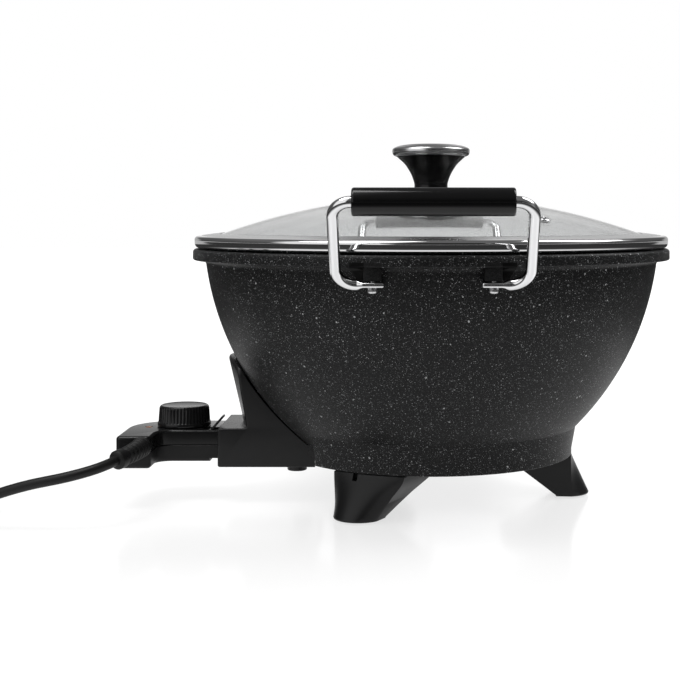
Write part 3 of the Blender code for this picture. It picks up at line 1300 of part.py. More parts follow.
def least_self_gap(path):
    """Least free distance between two turns of one tube, on its points."""
    least = math.inf
    reach = round(COIL_TURN_POINTS / 2)
    for index, point in enumerate(path):
        for other in range(index + reach, len(path)):
            start = path[other - 1]
            span = path[other] - start
            share = max(0, min(1, (point - start).dot(span) / span.length_squared))
            least = min(least, (start + span * share - point).length)
    return least - CORD_RADIUS * 2


def make_plug(start):
    """The plug's body grows from its boot to a flat face that carries two
    round pins."""
    levels = ((0, PLUG_BOOT_RADIUS, PLUG_BOOT_RADIUS, 0),
              (PLUG_BOOT_LENGTH / 2, PLUG_NECK_RADIUS, PLUG_NECK_RADIUS, 0),
              (PLUG_BOOT_LENGTH, PLUG_NECK_RADIUS * 1.5, PLUG_NECK_RADIUS * 1.2, 0.2),
              (PLUG_BOOT_LENGTH * 1.3, PLUG_HALF_WIDTH * 0.93, PLUG_HALF_HEIGHT * 0.93, 0.5),
              (PLUG_BOOT_LENGTH * 1.6, PLUG_HALF_WIDTH, PLUG_HALF_HEIGHT, 0.6),
              (PLUG_BOOT_LENGTH + PLUG_BODY_LENGTH * 0.7, PLUG_HALF_WIDTH * 0.96,
               PLUG_HALF_HEIGHT * 0.96, 0.6),
              (PLUG_BOOT_LENGTH + PLUG_BODY_LENGTH * 0.96, PLUG_HALF_WIDTH,
               PLUG_HALF_HEIGHT, 0.6),
              (PLUG_BOOT_LENGTH + PLUG_BODY_LENGTH, PLUG_HALF_WIDTH * 0.95,
               PLUG_HALF_HEIGHT * 0.95, 0.6))
    path = [start + Vector((0, level[0], 0)) for level in levels]
    sizes = [(level[1], level[2]) for level in levels]
    square = [level[3] for level in levels]
    shape = swept(path, sizes, square, PLUG_SIDES, Vector((1, 0, 0)))
    plug = add_piece("plug_body", shape, "black_rubber", CONTROLLER)
    face = path[-1]
    seats = []
    for side, label in ((-1, "left"), (1, "right")):
        centre = face + Vector((side * PLUG_PIN_SPACING / 2, 0, 0))
        root = centre - Vector((0, PLUG_PIN_SEAT, 0))
        seats.append(rod(root, centre + Vector((0, CUT_OVERRUN, 0)),
                         PLUG_PIN_RADIUS + FIT_GAP, SMALL_SIDES))
        pin = rod(root + Vector((0, FIT_GAP, 0)), centre + Vector((0, PLUG_PIN_LENGTH, 0)),
                  PLUG_PIN_RADIUS, SMALL_SIDES)
        add_piece("plug_pin_" + label, pin, "steel", CONTROLLER)
    combine(plug, merged(seats), "DIFFERENCE", "plug_pin_seat_cutter")


# Lid: a glass dome in a steel band, with a vent eyelet and a flared knob
LID_INSET = 0.0005
LID_RADIUS = RIM_RADIUS - LID_INSET
BAND_STAND_OFF = 0.0020
BAND_HEIGHT = 0.0069
BAND_BOTTOM = RIM_HEIGHT + BAND_STAND_OFF
BAND_TOP = BAND_BOTTOM + BAND_HEIGHT
BAND_SHEET = 0.0009
BAND_LIP_WIDTH = 0.0169
BAND_LIP_RADIUS = LID_RADIUS - BAND_LIP_WIDTH
BAND_LIP_RISE = 0.0016
BAND_LIP_TOP = BAND_TOP + BAND_LIP_RISE
LOCATOR_CLEARANCE = 0.0017
LOCATOR_RADIUS = wall_radius(RIM_HEIGHT, CASTING_WALL) - LOCATOR_CLEARANCE
SEAT_WIDTH = 0.0051
SEAT_OUTER_RADIUS = LOCATOR_RADIUS + SEAT_WIDTH
LOCATOR_DROP = 0.0044
GLASS_INSET = 0.0039
GLASS_EDGE_RADIUS = LID_RADIUS - GLASS_INSET
GLASS_THICKNESS = 0.0038
GLASS_RISE = 0.0256
GLASS_APEX = BAND_LIP_TOP + GLASS_RISE
GLASS_ROWS = 4
VENT_X = 0.073
VENT_Y = -0.087
VENT_BORE = 0.0018
VENT_BARREL = 0.0029
VENT_FLANGE = 0.005
VENT_FLANGE_THICKNESS = 0.0008

# Knob: a flared black body under a steel cap, bolted through the glass
KNOB_SHARES = ((1.15, 0), (1.02, 0.07), (0.975, 0.24), (1.10, 0.43), (1.275, 0.58),
               (1.525, 0.74), (1.91, 0.89), (2.18, 1))
KNOB_NECK_RADIUS = 0.012
KNOB_BODY_HEIGHT = 0.0280
KNOB_CAP_RADIUS = 0.0272
KNOB_CAP_HEIGHT = 0.0075
KNOB_CAP_RING = 0.0022
KNOB_SPIGOT_RADIUS = 0.016
KNOB_SPIGOT_HEIGHT = 0.0014
SEAL_RADIUS = 0.0146
SEAL_THICKNESS = 0.0011
KNOB_FOOT = GLASS_APEX + FIT_GAP + SEAL_THICKNESS + FIT_GAP
KNOB_BODY_TOP = KNOB_FOOT + KNOB_BODY_HEIGHT
KNOB_CAP_TOP = KNOB_BODY_TOP + KNOB_CAP_HEIGHT
KNOB_BOLT_RADIUS = 0.0025
KNOB_BOLT_REACH = 0.018
GLASS_HOLE_RADIUS = 0.0042
WASHER_RADIUS = 0.0105
WASHER_THICKNESS = 0.0012
KNOB_BOLT_HEAD_RADIUS = 0.0048
KNOB_BOLT_HEAD = 0.003


def glass_top(radius):
    """Height of the glass's upper face at a radius: one dome inside the
    band's lip, then a flatter margin that the band grips."""
    lip_height = BAND_LIP_TOP - BAND_SHEET - FIT_GAP
    drop = GLASS_APEX - lip_height
    ball = (drop ** 2 + BAND_LIP_RADIUS ** 2) / (drop * 2)
    if radius <= BAND_LIP_RADIUS:
        return GLASS_APEX - ball + math.sqrt(ball ** 2 - radius ** 2)
    edge_height = BAND_TOP - BAND_SHEET - FIT_GAP
    share = (radius - BAND_LIP_RADIUS) / (GLASS_EDGE_RADIUS - BAND_LIP_RADIUS)
    return mixed(lip_height, edge_height, share)


def glass_radii():
    """Radii of the glass's rings of corners, from the middle out."""
    radii = [0, SEAL_RADIUS]
    radii += [BAND_LIP_RADIUS * row / GLASS_ROWS for row in range(1, GLASS_ROWS + 1)]
    return radii + [GLASS_EDGE_RADIUS]


def facet_top(radius):
    """Height of the flat facet of the glass that a radius falls on."""
    radii = glass_radii()
    for inner, outer in zip(radii, radii[1:]):
        if radius <= outer:
            share = (radius - inner) / (outer - inner)
            return mixed(glass_top(inner), glass_top(outer), share)
    return glass_top(radius)


def glass_outline():
    """Upper face from the middle out, round the edge and back below."""
    upper = [(radius, glass_top(radius)) for radius in glass_radii()]
    lower = [(radius, height - GLASS_THICKNESS) for radius, height in reversed(upper)]
    lower[-1] = (0, GLASS_APEX - GLASS_THICKNESS)
    return upper + lower


def band_outline():
    """Section of the pressed band: bead, seat, locating skirt and lip."""
    bead = (BAND_TOP - BAND_BOTTOM) / 2
    seat = RIM_HEIGHT + FIT_GAP
    edge = GLASS_EDGE_RADIUS + FIT_GAP
    under = glass_top(GLASS_EDGE_RADIUS) - GLASS_THICKNESS - FIT_GAP
    inner = LOCATOR_RADIUS - BAND_SHEET
    outline = arc((LID_RADIUS - bead, BAND_TOP - bead), bead, 90, -90, 4)
    outline += [(SEAT_OUTER_RADIUS, BAND_BOTTOM), (SEAT_OUTER_RADIUS, seat),
                (LOCATOR_RADIUS, seat), (LOCATOR_RADIUS, seat - LOCATOR_DROP),
                (inner, seat - LOCATOR_DROP), (inner, seat + BAND_SHEET),
                (edge, under), (edge, glass_top(GLASS_EDGE_RADIUS) + FIT_GAP),
                (BAND_LIP_RADIUS, glass_top(BAND_LIP_RADIUS) + FIT_GAP),
                (BAND_LIP_RADIUS, BAND_LIP_TOP)]
    return outline


def make_lid():
    """Glass, band, eyelet, knob, cap and the bolt that holds them."""
    glass = add_piece("lid_glass", turned(glass_outline(), LARGE_SIDES), "clear_glass", LID)
    add_piece("lid_band", turned(band_outline(), LARGE_SIDES), "steel", LID)
    reach = math.hypot(VENT_X, VENT_Y)
    slope = (facet_top(reach + FIT_GAP) - facet_top(reach - FIT_GAP)) / (FIT_GAP * 2)
    outward = Vector((VENT_X, VENT_Y, 0)).normalized()
    normal = (Vector((0, 0, 1)) - outward * slope).normalized()
    place = Vector((VENT_X, VENT_Y, facet_top(reach))) - normal * (GLASS_THICKNESS / 2)
    turn = Matrix.Translation(place) @ normal.to_track_quat("Z", "Y").to_matrix().to_4x4()
    half = GLASS_THICKNESS / 2 + FIT_GAP
    top = half + VENT_FLANGE_THICKNESS
    outline = [(VENT_BORE, top), (VENT_FLANGE - FIT_GAP, top), (VENT_FLANGE, half),
               (VENT_BARREL, half), (VENT_BARREL, -half), (VENT_FLANGE, -half),
               (VENT_FLANGE - FIT_GAP, -top), (VENT_BORE, -top)]
    eyelet = turned(outline, SMALL_SIDES)
    bmesh.ops.transform(eyelet, matrix=turn, verts=eyelet.verts)
    add_piece("vent_eyelet", eyelet, "steel", LID)
    vent_hole = rod((0, 0, -GLASS_THICKNESS), (0, 0, GLASS_THICKNESS), VENT_BARREL + FIT_GAP,
                    SMALL_SIDES)
    bmesh.ops.transform(vent_hole, matrix=turn, verts=vent_hole.verts)
    bolt_hole = rod((0, 0, GLASS_APEX - GLASS_THICKNESS - CUT_OVERRUN),
                    (0, 0, GLASS_APEX + CUT_OVERRUN), GLASS_HOLE_RADIUS, SMALL_SIDES)
    combine(glass, merged([vent_hole, bolt_hole]), "DIFFERENCE", "lid_glass_drill")
    make_knob()


def make_knob():
    """The seal on the glass, the flared body, its cap and its bolt."""
    seal_bottom = GLASS_APEX + FIT_GAP
    seal_top = seal_bottom + SEAL_THICKNESS
    bore = KNOB_BOLT_RADIUS + FIT_GAP
    outline = [(bore, seal_bottom), (SEAL_RADIUS, seal_bottom), (SEAL_RADIUS, seal_top),
               (bore, seal_top)]
    add_piece("knob_seal", turned(outline, MIDDLE_SIDES), "black_rubber", LID)
    bottom = KNOB_FOOT
    bolt_top = bottom + KNOB_BOLT_REACH
    outline = [(0, bolt_top + FIT_GAP), (bore, bolt_top + FIT_GAP), (bore, bottom)]
    for radius_share, height_share in KNOB_SHARES:
        outline.append((KNOB_NECK_RADIUS * radius_share,
                        mixed(bottom, KNOB_BODY_TOP, height_share)))
    spigot_top = KNOB_BODY_TOP + KNOB_SPIGOT_HEIGHT
    outline += [(KNOB_SPIGOT_RADIUS, KNOB_BODY_TOP), (KNOB_SPIGOT_RADIUS, spigot_top),
                (0, spigot_top)]
    add_piece("knob_body", turned(outline, MIDDLE_SIDES), "black_plastic", LID)
    cap_bottom = KNOB_BODY_TOP + FIT_GAP
    rim = KNOB_CAP_RADIUS
    dome_foot = cap_bottom + KNOB_CAP_RING
    rise = KNOB_CAP_TOP - dome_foot
    outline = [(0, spigot_top + FIT_GAP), (KNOB_SPIGOT_RADIUS + FIT_GAP, spigot_top + FIT_GAP),
               (KNOB_SPIGOT_RADIUS + FIT_GAP, cap_bottom), (rim - KNOB_CAP_RING / 2, cap_bottom),
               (rim, cap_bottom + KNOB_CAP_RING / 2), (rim, dome_foot)]
    for step in range(1, 6):
        angle = math.pi / 2 * step / 5
        outline.append((rim * math.cos(angle) ** 0.6, dome_foot + rise * math.sin(angle)))
    outline[-1] = (0, KNOB_CAP_TOP)
    add_piece("knob_cap", turned(outline, MIDDLE_SIDES), "brushed_steel", LID)
    washer_top = GLASS_APEX - GLASS_THICKNESS - washer_sink() - FIT_GAP
    outline = [(bore, washer_top - WASHER_THICKNESS), (WASHER_RADIUS, washer_top - WASHER_THICKNESS),
               (WASHER_RADIUS, washer_top), (bore, washer_top)]
    add_piece("knob_washer", turned(outline, SMALL_SIDES), "steel", LID)
    bolt = screw(bolt_top, washer_top - WASHER_THICKNESS - FIT_GAP, KNOB_BOLT_RADIUS,
                 KNOB_BOLT_HEAD_RADIUS, KNOB_BOLT_HEAD, (0, 0))
    add_piece("knob_bolt", bolt, "steel", LID)


def washer_sink():
    """How far the glass has dropped where its first flat facet ends."""
    return GLASS_APEX - glass_top(SEAL_RADIUS)


clear_scene()
ROOT = Anchor("wok_axis", (0, 0, 0))
LID = Anchor("lid_lift", (0, 0, RIM_HEIGHT), ROOT)
CONTROLLER = Anchor("controller_slide", (-CONTROLLER_FACE_X, 0, PROBE_HEIGHT), ROOT)
DIAL = Anchor("dial_axis", (-DIAL_X, DIAL_Y, CONTROLLER_TOP), CONTROLLER)
LEVER = Anchor("lever_axis", (-LEVER_PIVOT_X, LEVER_Y, LEVER_PIVOT_HEIGHT), CONTROLLER)

make_bowl()
make_base_cover()
make_heater(BLOCK_INNER_X - FIT_GAP)
for leg_name, leg_angle in zip(LEG_NAMES, LEG_ANGLES_DEG):
    make_leg(leg_name, leg_angle)
make_handle("front", -1)
make_handle("rear", 1)
make_housing()
make_inlet()
make_controller()
make_lever()
make_dial()
make_lead()
make_lid()
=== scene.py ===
"""Looks of the electric wok: every piece is drawn in millimetres about the
bowl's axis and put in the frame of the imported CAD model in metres."""
import math

import bmesh
import bpy
from mathutils import Matrix, Vector


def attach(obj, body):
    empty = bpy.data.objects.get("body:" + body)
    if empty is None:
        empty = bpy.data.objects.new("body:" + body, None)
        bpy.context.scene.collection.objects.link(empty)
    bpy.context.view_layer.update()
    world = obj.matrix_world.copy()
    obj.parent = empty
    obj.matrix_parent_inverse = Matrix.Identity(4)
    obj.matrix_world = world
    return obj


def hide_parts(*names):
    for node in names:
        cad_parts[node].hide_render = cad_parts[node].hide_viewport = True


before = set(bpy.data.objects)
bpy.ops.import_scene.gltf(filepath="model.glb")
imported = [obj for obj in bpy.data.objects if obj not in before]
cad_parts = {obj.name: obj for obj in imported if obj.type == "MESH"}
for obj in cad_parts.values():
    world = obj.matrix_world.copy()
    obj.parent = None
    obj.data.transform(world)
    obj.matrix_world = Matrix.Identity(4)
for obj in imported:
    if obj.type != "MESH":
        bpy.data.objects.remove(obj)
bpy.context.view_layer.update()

# The bowl is an aluminium die casting with a thick flange at its rim, a short
# base ring and lugs for the handles. It is sprayed inside and out with a
# charcoal non-stick coat that carries fine pale flecks, and baked.
AXIS_X = 21.5
RIM_R, RIM_Z = 165.0, 172.7
WALL_R, WALL_T = 197.0, 3.5
FOOT, NECK = Vector((106.4, 56.2)), Vector((155.9, 161.5))
FLANGE, FILLET = 7.4, 16.0
FLOOR_Z, UNDERSIDE_Z = 45.0, 40.0


class Wire:
    """An output socket in a material. Sums on it add Math nodes."""

    def __init__(self, tree, socket=None):
        self.tree, self.socket = tree, socket

    def node(self, kind, settings=None, inputs=None, output=0):
        """Any node: its settings first, then the values or links of its
        sockets. A ramp's stops are pairs of place and grey or colour."""
        made = self.tree.nodes.new(kind)
        for name, value in (settings or {}).items():
            if name == "stops":
                ramp = made.color_ramp
                while len(ramp.elements) < len(value):
                    ramp.elements.new(0.5)
                for stop, (place, tone) in zip(ramp.elements, value):
                    stop.position = place
                    tone = (tone,) * 3 if isinstance(tone, float) else tone
                    stop.color = (*tone, 1.0)
            else:
                setattr(made, name, value)
        for name, value in (inputs or {}).items():
            socket = made.inputs[name]
            if isinstance(value, Wire):
                self.tree.links.new(value.socket, socket)
            else:
                socket.default_value = value
        return Wire(self.tree, made.outputs[output])

    def maths(self, operation, first, second=0.0):
        return self.node("ShaderNodeMath", {"operation": operation}, {0: first, 1: second})

    def __add__(self, other):
        return self.maths("ADD", self, other)

    def __sub__(self, other):
        return self.maths("SUBTRACT", self, other)

    def __rsub__(self, other):
        return self.maths("SUBTRACT", other, self)

    def __mul__(self, other):
        return self.maths("MULTIPLY", self, other)

    def __gt__(self, other):
        return self.maths("GREATER_THAN", self, other)

    def __lt__(self, other):
        return self.maths("LESS_THAN", self, other)

    def __abs__(self):
        return self.maths("ABSOLUTE", self)

    __radd__, __rmul__ = __add__, __mul__

    def highest(self, other):
        return self.maths("MAXIMUM", self, other)

    def vector(self, operation, other=(0, 0, 0), output=0):
        """Vector Math on this place or direction."""
        return self.node("ShaderNodeVectorMath", {"operation": operation}, {0: self, 1: other},
                         output)

    def axis(self, letter):
        return self.node("ShaderNodeSeparateXYZ", None, {0: self}, letter)

    def noise(self, scale, detail=2.0, output=0):
        """Noise at a number of blobs per millimetre."""
        return self.node("ShaderNodeTexNoise", None,
                         {"Vector": self, "Scale": scale * 1000, "Detail": detail}, output)

    def mixed(self, low, high):
        """Colours or numbers between two, by this mask."""
        if isinstance(low, (float, int)) or isinstance(high, (float, int)):
            return self.node("ShaderNodeMix", None, {0: self, 2: low, 3: high})
        shades = [tone if isinstance(tone, Wire) else (*tone, 1.0) for tone in (low, high)]
        return self.node("ShaderNodeMix", {"data_type": "RGBA"},
                         {0: self, 6: shades[0], 7: shades[1]}, 2)

    def ramp(self, *stops):
        return self.node("ShaderNodeValToRGB", {"stops": stops}, {0: self})

    def bump(self, strength, depth_mm):
        """A normal from this height."""
        return self.node("ShaderNodeBump", None,
                         {"Strength": strength, "Distance": depth_mm / 1000, "Height": self})


def finish(name, **sockets):
    """A Principled material. Sockets are named with underscores and take a
    number, a colour, or a function of the surface's place."""
    material = bpy.data.materials.new(name)
    material.use_nodes = True
    tree = material.node_tree
    shader = tree.nodes["Principled BSDF"]
    place = Wire(tree).node("ShaderNodeTexCoord", output="Object")
    for name, value in sockets.items():
        socket = shader.inputs[name.replace("_", " ")]
        if callable(value):
            value = value(place)
        if isinstance(value, Wire):
            tree.links.new(value.socket, socket)
        else:
            socket.default_value = (*value, 1.0) if isinstance(value, tuple) else value
    return material


def flecks(place, size, share, seed):
    """A mask of small flecks: the middles of a share of the cells of a
    Voronoi pattern, each with its own size, pulled out of shape by noise."""
    warp = place.noise(1.3 / size, 2.0, 1).vector("MULTIPLY", (0.0009 * size,) * 3)
    cell = {"Scale": 1000 / size, "Vector": place.vector("ADD", warp.vector("ADD", (seed,) * 3))}
    away = place.node("ShaderNodeTexVoronoi", None, cell)
    tone = place.node("ShaderNodeTexVoronoi", None, cell, "Color")
    pick = place.node("ShaderNodeSeparateColor", None, {0: tone}, 0)
    span = place.node("ShaderNodeSeparateColor", None, {0: tone}, 1)
    return (pick < share) * (away < span * 0.26 + 0.10)


def within(value, middle, reach):
    """1 where a value in metres is within a reach of a middle, both in mm."""
    return abs(value - middle / 1000) < reach / 1000


def coat_colour(place):
    """Charcoal with three sizes of flecks. The lugs and the pockets beside them carry no flecks,
    which also darkens them as painted shade, and the pockets are painted near-black as painted
    shade under the flange."""
    out = abs(place.axis("X") - AXIS_X / 1000)
    outside, height = abs(place.axis("Y")) > 0.1485, place.axis("Z")
    # Painted shade: the pocket on the outer side of each lug, under the flange.
    painted_pocket_shade = within(out, 45.2, 4.4) * within(height, 162.9, 5.4) * outside
    # 0 on the lugs and their pockets, where the flecks are left off, partly to darken them as
    # painted shade.
    wall_outside_painted_shade = 1.0 - within(out, 40.0, 9.6) * within(height, 162.7, 5.6) * outside
    grain = place.noise(1.5).ramp((0.38, 0.0), (0.66, 1.0))
    base = grain.mixed((0.008, 0.0081, 0.0083), (0.03, 0.0303, 0.0307))
    # The pockets are painted near-black: painted shade.
    base = painted_pocket_shade.mixed(base, (0.001, 0.001, 0.001))
    base = (flecks(place, 0.55, 0.38, 0.31) * wall_outside_painted_shade).mixed(base, (0.32, 0.325, 0.33))
    base = (flecks(place, 0.85, 0.2, 0.0) * wall_outside_painted_shade).mixed(base, (0.56, 0.57, 0.58))
    return (flecks(place, 1.8, 0.03, 0.77) * wall_outside_painted_shade).mixed(base, (0.75, 0.76, 0.77))


fleck_coat = finish(
    "fleck_coat", Base_Color=coat_colour, Roughness=0.42, Specular_IOR_Level=0.16,
    Normal=lambda p: p.noise(1.1, 3.0).bump(0.35, 0.12))


def turned(outline, sides=160, turn=None):
    """A surface of revolution about +Z through (radius, height) points,
    which form a loop or run from the axis to the axis."""
    shape = bmesh.new()
    rings = []
    for radius, height in outline:
        count = sides if radius > 0 else 1
        rings.append([shape.verts.new((radius * math.cos(math.tau * i / sides),
                                       radius * math.sin(math.tau * i / sides), height))
                      for i in range(count)])
    pairs = list(zip(rings, rings[1:]))
    if outline[0][0] > 0:
        pairs.append((rings[-1], rings[0]))
    for near, far in pairs:
        for i in range(sides):
            corners = [near[i % len(near)], near[(i + 1) % len(near)],
                       far[(i + 1) % len(far)], far[i % len(far)]]
            corners = list(dict.fromkeys(corners))
            if len(corners) > 2:
                shape.faces.new(corners)
    if turn:
        bmesh.ops.transform(shape, matrix=turn, verts=shape.verts)
    return shape


def arc(x, y, radius, start, end, steps):
    """Points on an arc, angles in degrees."""
    turns = [math.radians(start + (end - start) * i / steps) for i in range(steps + 1)]
    return [(x + radius * math.cos(t), y + radius * math.sin(t)) for t in turns]


def lofted(sections, closed=False):
    """A skin through rings of points, capped at its ends unless closed."""
    shape = bmesh.new()
    rings = [[shape.verts.new(point) for point in section] for section in sections]
    for near, far in zip(rings, rings[1:] + rings[:1] if closed else rings[1:]):
        for i in range(len(near)):
            j = (i + 1) % len(near)
            shape.faces.new((near[i], near[j], far[j], far[i]))
    if not closed:
        shape.faces.new(rings[0][::-1])
        shape.faces.new(rings[-1])
    return shape


def block(low, high, edge=0.0, steps=3):
    """A box between two corners with its edges rounded."""
    shape = bmesh.new()
    bmesh.ops.create_cube(shape, size=1)
    low, high = Vector(low), Vector(high)
    bmesh.ops.scale(shape, vec=high - low, verts=shape.verts)
    bmesh.ops.translate(shape, vec=(low + high) / 2, verts=shape.verts)
    if edge:
        bmesh.ops.bevel(shape, geom=shape.edges[:], offset=edge, segments=steps, profile=0.5,
                        affect="EDGES")
    return shape


def joined(*shapes):
    """One bmesh of several that may run into each other."""
    whole = bmesh.new()
    for shape in shapes:
        mesh = bpy.data.meshes.new("shape")
        shape.to_mesh(mesh)
        shape.free()
        whole.from_mesh(mesh)
        bpy.data.meshes.remove(mesh)
    return whole


def put(name, shape, material, body, *nodes, sharp=32, slot=None):
    """A bmesh in millimetres about the bowl's axis becomes a piece that
    rides on a body and stands for CAD nodes."""
    bmesh.ops.translate(shape, vec=(AXIS_X, 0, 0), verts=shape.verts)
    bmesh.ops.scale(shape, vec=(0.001,) * 3, verts=shape.verts)
    bmesh.ops.recalc_face_normals(shape, faces=shape.faces)
    mesh = bpy.data.meshes.new(name)
    shape.to_mesh(mesh)
    shape.free()
    mesh.shade_smooth()
    mesh.set_sharp_from_angle(angle=math.radians(sharp))
    mesh.materials.append(material)
    piece = bpy.data.objects.new(name, mesh)
    bpy.context.collection.objects.link(piece)
    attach(piece, body)
    if nodes:
        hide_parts(*nodes)
    return piece


def wall_radius(height, depth=0.0):
    """Radius of the bowl's wall at a height, on a face a depth inside it."""
    chord = NECK - FOOT
    reach = math.sqrt(WALL_R ** 2 - (chord.length / 2) ** 2)
    centre = (NECK + FOOT) / 2 + Vector((-chord.y, chord.x)).normalized() * reach
    return centre.x + math.sqrt((WALL_R - depth) ** 2 - (centre.y - height) ** 2)


def wall_points(low, high, count, depth=0.0):
    """Points along the wall from one height to another, without the first."""
    heights = [low + (high - low) * i / count for i in range(1, count + 1)]
    return [(wall_radius(height, depth), height) for height in heights]


def eased(start, corner, end, steps):
    """Points on a soft curve that rounds off a corner."""
    start, corner, end = Vector(start), Vector(corner), Vector(end)
    shares = [i / steps for i in range(steps + 1)]
    return [tuple(start.lerp(corner, s).lerp(corner.lerp(end, s), s)) for s in shares]


def bowl_outline():
    """Cooking floor, fillet, inner wall, rim flange, cove, outer wall."""
    foot_z, under_z = FLOOR_Z + FILLET, RIM_Z - FLANGE
    foot_r = wall_radius(foot_z, WALL_T)
    outline = [(0, FLOOR_Z), (40, FLOOR_Z)]
    outline += eased((foot_r - FILLET, FLOOR_Z), (wall_radius(FLOOR_Z, WALL_T), FLOOR_Z),
                     (foot_r, foot_z), 8)
    outline += wall_points(foot_z, RIM_Z - 1, 24, WALL_T)[:-1]
    outline += arc(wall_radius(RIM_Z, WALL_T) + 1, RIM_Z - 1, 1, 180, 90, 4)
    outline += arc(RIM_R - 2.2, RIM_Z - 2.2, 2.2, 90, 0, 6)
    outline += arc(RIM_R - 1.1, under_z + 1.1, 1.1, 0, -90, 4)
    cove = under_z - NECK.y
    outline += arc(wall_radius(NECK.y) + cove, NECK.y, cove, 90, 180, 6)
    return outline + wall_points(NECK.y, UNDERSIDE_Z, 30) + [(0, UNDERSIDE_Z)]


RING_R, RING_INNER_R, RING_Z, RING_JOIN, RING_END_DEG = 98.0, 94.0, 30.5, 50.5, 141.4
LUG_X, LUG_W, LUG_Z, FLAT_Y = 35.7, 10.6, 157.1, 157.2


def base_ring():
    """The short skirt, open at -X where the housing enters."""
    outline = [(RING_INNER_R, RING_Z), (RING_R - 0.8, RING_Z), (RING_R - 0.2, RING_Z + 0.3),
               (RING_R, RING_Z + 0.8)]
    foot, top = Vector((RING_R, RING_Z + 4)), Vector((wall_radius(RING_JOIN), RING_JOIN))
    outline += [tuple(foot.lerp(top, i / 4)) for i in range(5)]
    outline += [(wall_radius(52) - 1.0, 52), (RING_INNER_R, 47.0)]
    turns = [math.radians(RING_END_DEG * (i / 64 - 1)) for i in range(129)]
    return lofted([[(r * math.cos(turn), r * math.sin(turn), z) for r, z in outline]
                   for turn in turns])


def lugs():
    """Four cast blocks under the flange that take the handles' screws."""
    shapes = []
    face = math.sqrt(RIM_R ** 2 - (LUG_X + LUG_W / 2) ** 2) - 0.3
    for x in (-LUG_X, LUG_X):
        for side in (-1, 1):
            near, far = side * 146, side * face
            shapes.append(block((x - LUG_W / 2, min(near, far), LUG_Z),
                                (x + LUG_W / 2, max(near, far), 168), 0.9))
    return joined(*shapes)


def cut(shape, tool, operation="DIFFERENCE"):
    """One bmesh cut by another, both used up."""
    pair = []
    for part in (shape, tool):
        bmesh.ops.recalc_face_normals(part, faces=part.faces)
        mesh = bpy.data.meshes.new("shape")
        part.to_mesh(mesh)
        part.free()
        pair.append(bpy.data.objects.new("shape", mesh))
        bpy.context.collection.objects.link(pair[-1])
    step = pair[0].modifiers.new("cut", "BOOLEAN")
    step.operation, step.solver, step.object = operation, "EXACT", pair[1]
    result = bmesh.new()
    result.from_object(pair[0], bpy.context.evaluated_depsgraph_get())
    for thing in pair:
        mesh = thing.data
        bpy.data.objects.remove(thing)
        bpy.data.meshes.remove(mesh)
    return result


def pockets():
    """The dark undercuts in the cove on the outer side of each lug."""
    shapes, under_z = [], RIM_Z - FLANGE
    near_x = LUG_X + LUG_W / 2 + 0.3
    far_x = near_x + 8.0
    near_y = math.sqrt((wall_radius(NECK.y) - 1.1) ** 2 - far_x ** 2) + 4.0
    for x in ((-far_x, -near_x), (near_x, far_x)):
        for y in ((-167.0, -near_y), (near_y, 167.0)):
            shapes.append(block((x[0], y[0], under_z - 6.1), (x[1], y[1], under_z - 0.3), 0.8, 2))
    return joined(*shapes)


put("bowl_casting", joined(cut(turned(bowl_outline(), 192), pockets()), base_ring(), lugs()),
    fleck_coat, "wok", "bowl", sharp=28, slot="fleck_coat")

# A steel cover plate closes the base and one screw in its middle holds it.
# Above it lies the heating element, a sheathed tube pressed to the floor of
# the bowl, whose bright sheath has gone straw-coloured and grey with heat.


def dress(material, *nodes):
    """Give CAD nodes whose shape is right a better material."""
    for name in nodes:
        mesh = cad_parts[name].data
        mesh.materials.clear()
        mesh.materials.append(material)


def brushed(place):
    """Fine scratches that run from left to right."""
    return place.vector("MULTIPLY", (0.02, 1.0, 1.0)).noise(2.2, 3.0)


def cloudy(scale, low, high, detail=4.0):
    """Soft patches between two colours or numbers."""
    return lambda p: p.noise(scale, detail).mixed(low, high)


cover_steel = finish(
    "cover_steel", Metallic=1.0, Base_Color=(0.60, 0.60, 0.61),
    Roughness=lambda p: brushed(p).mixed(0.26, 0.42), Normal=lambda p: brushed(p).bump(0.25, 0.02))
heated_sheath = finish(
    "heated_sheath", Metallic=1.0,
    Base_Color=cloudy(0.03, (0.30, 0.27, 0.24), (0.46, 0.42, 0.36)),
    Roughness=cloudy(0.4, 0.38, 0.6, 3.0))
screw_steel = finish("screw_steel", Metallic=1.0, Base_Color=(0.66, 0.66, 0.67),
                     Roughness=cloudy(0.9, 0.20, 0.34, 3.0))
dress(cover_steel, "base_cover")
dress(heated_sheath, "heating_element")


def pan_head(x, y, base, tip, turn_deg, height=3.4):
    """A pan-head screw that points up, with a cross recess in its head."""
    radius, shank_r, low = 3.05, 1.5, base - height
    outline = [(0, low)] + arc(radius - 1.7, low + 1.7, 1.7, -90, 0, 6)
    outline += [(radius, base), (shank_r, base), (shank_r, tip - 0.8), (0.8, tip), (0, tip)]
    shape = turned(outline, 40)
    for wide, deep in ((1.9, 0.42), (0.42, 1.9)):
        shape = cut(shape, block((-wide, -deep, low - 1), (wide, deep, low + 1.5)))
    turn = Matrix.Translation((x, y, 0)) @ Matrix.Rotation(math.radians(turn_deg), 4, "Z")
    bmesh.ops.transform(shape, matrix=turn, verts=shape.verts)
    return shape


put("cover_plate_screw", pan_head(0, 0, 31.2, 37.6, 18, 1.7), screw_steel, "wok",
    "base_cover_screw", slot="polished_steel")

# Each leg is a black phenolic moulding that leans and flares to one side, from
# a small foot up to the base ring. A screw from below holds it to a boss under
# the bowl, and a rubber pad is pressed into its foot.
LEG_TURNS = {"right": 0, "rear_left": 120, "front_left": 240}
LEG_TOP, LEG_LOW = 30.2, 1.0
LEG_SCREW_R, PAD_R = 78.0, 98.5
LEG_FLARE = ((0, 0), (0.25, 0.24), (0.5, 0.5), (0.78, 0.86), (0.9, 0.97), (1, 1))


def satin(depth, scale=1.6):
    """The fine spark-eroded grain of a satin moulding."""
    return lambda p: p.noise(scale, 4.0).bump(0.5, depth)


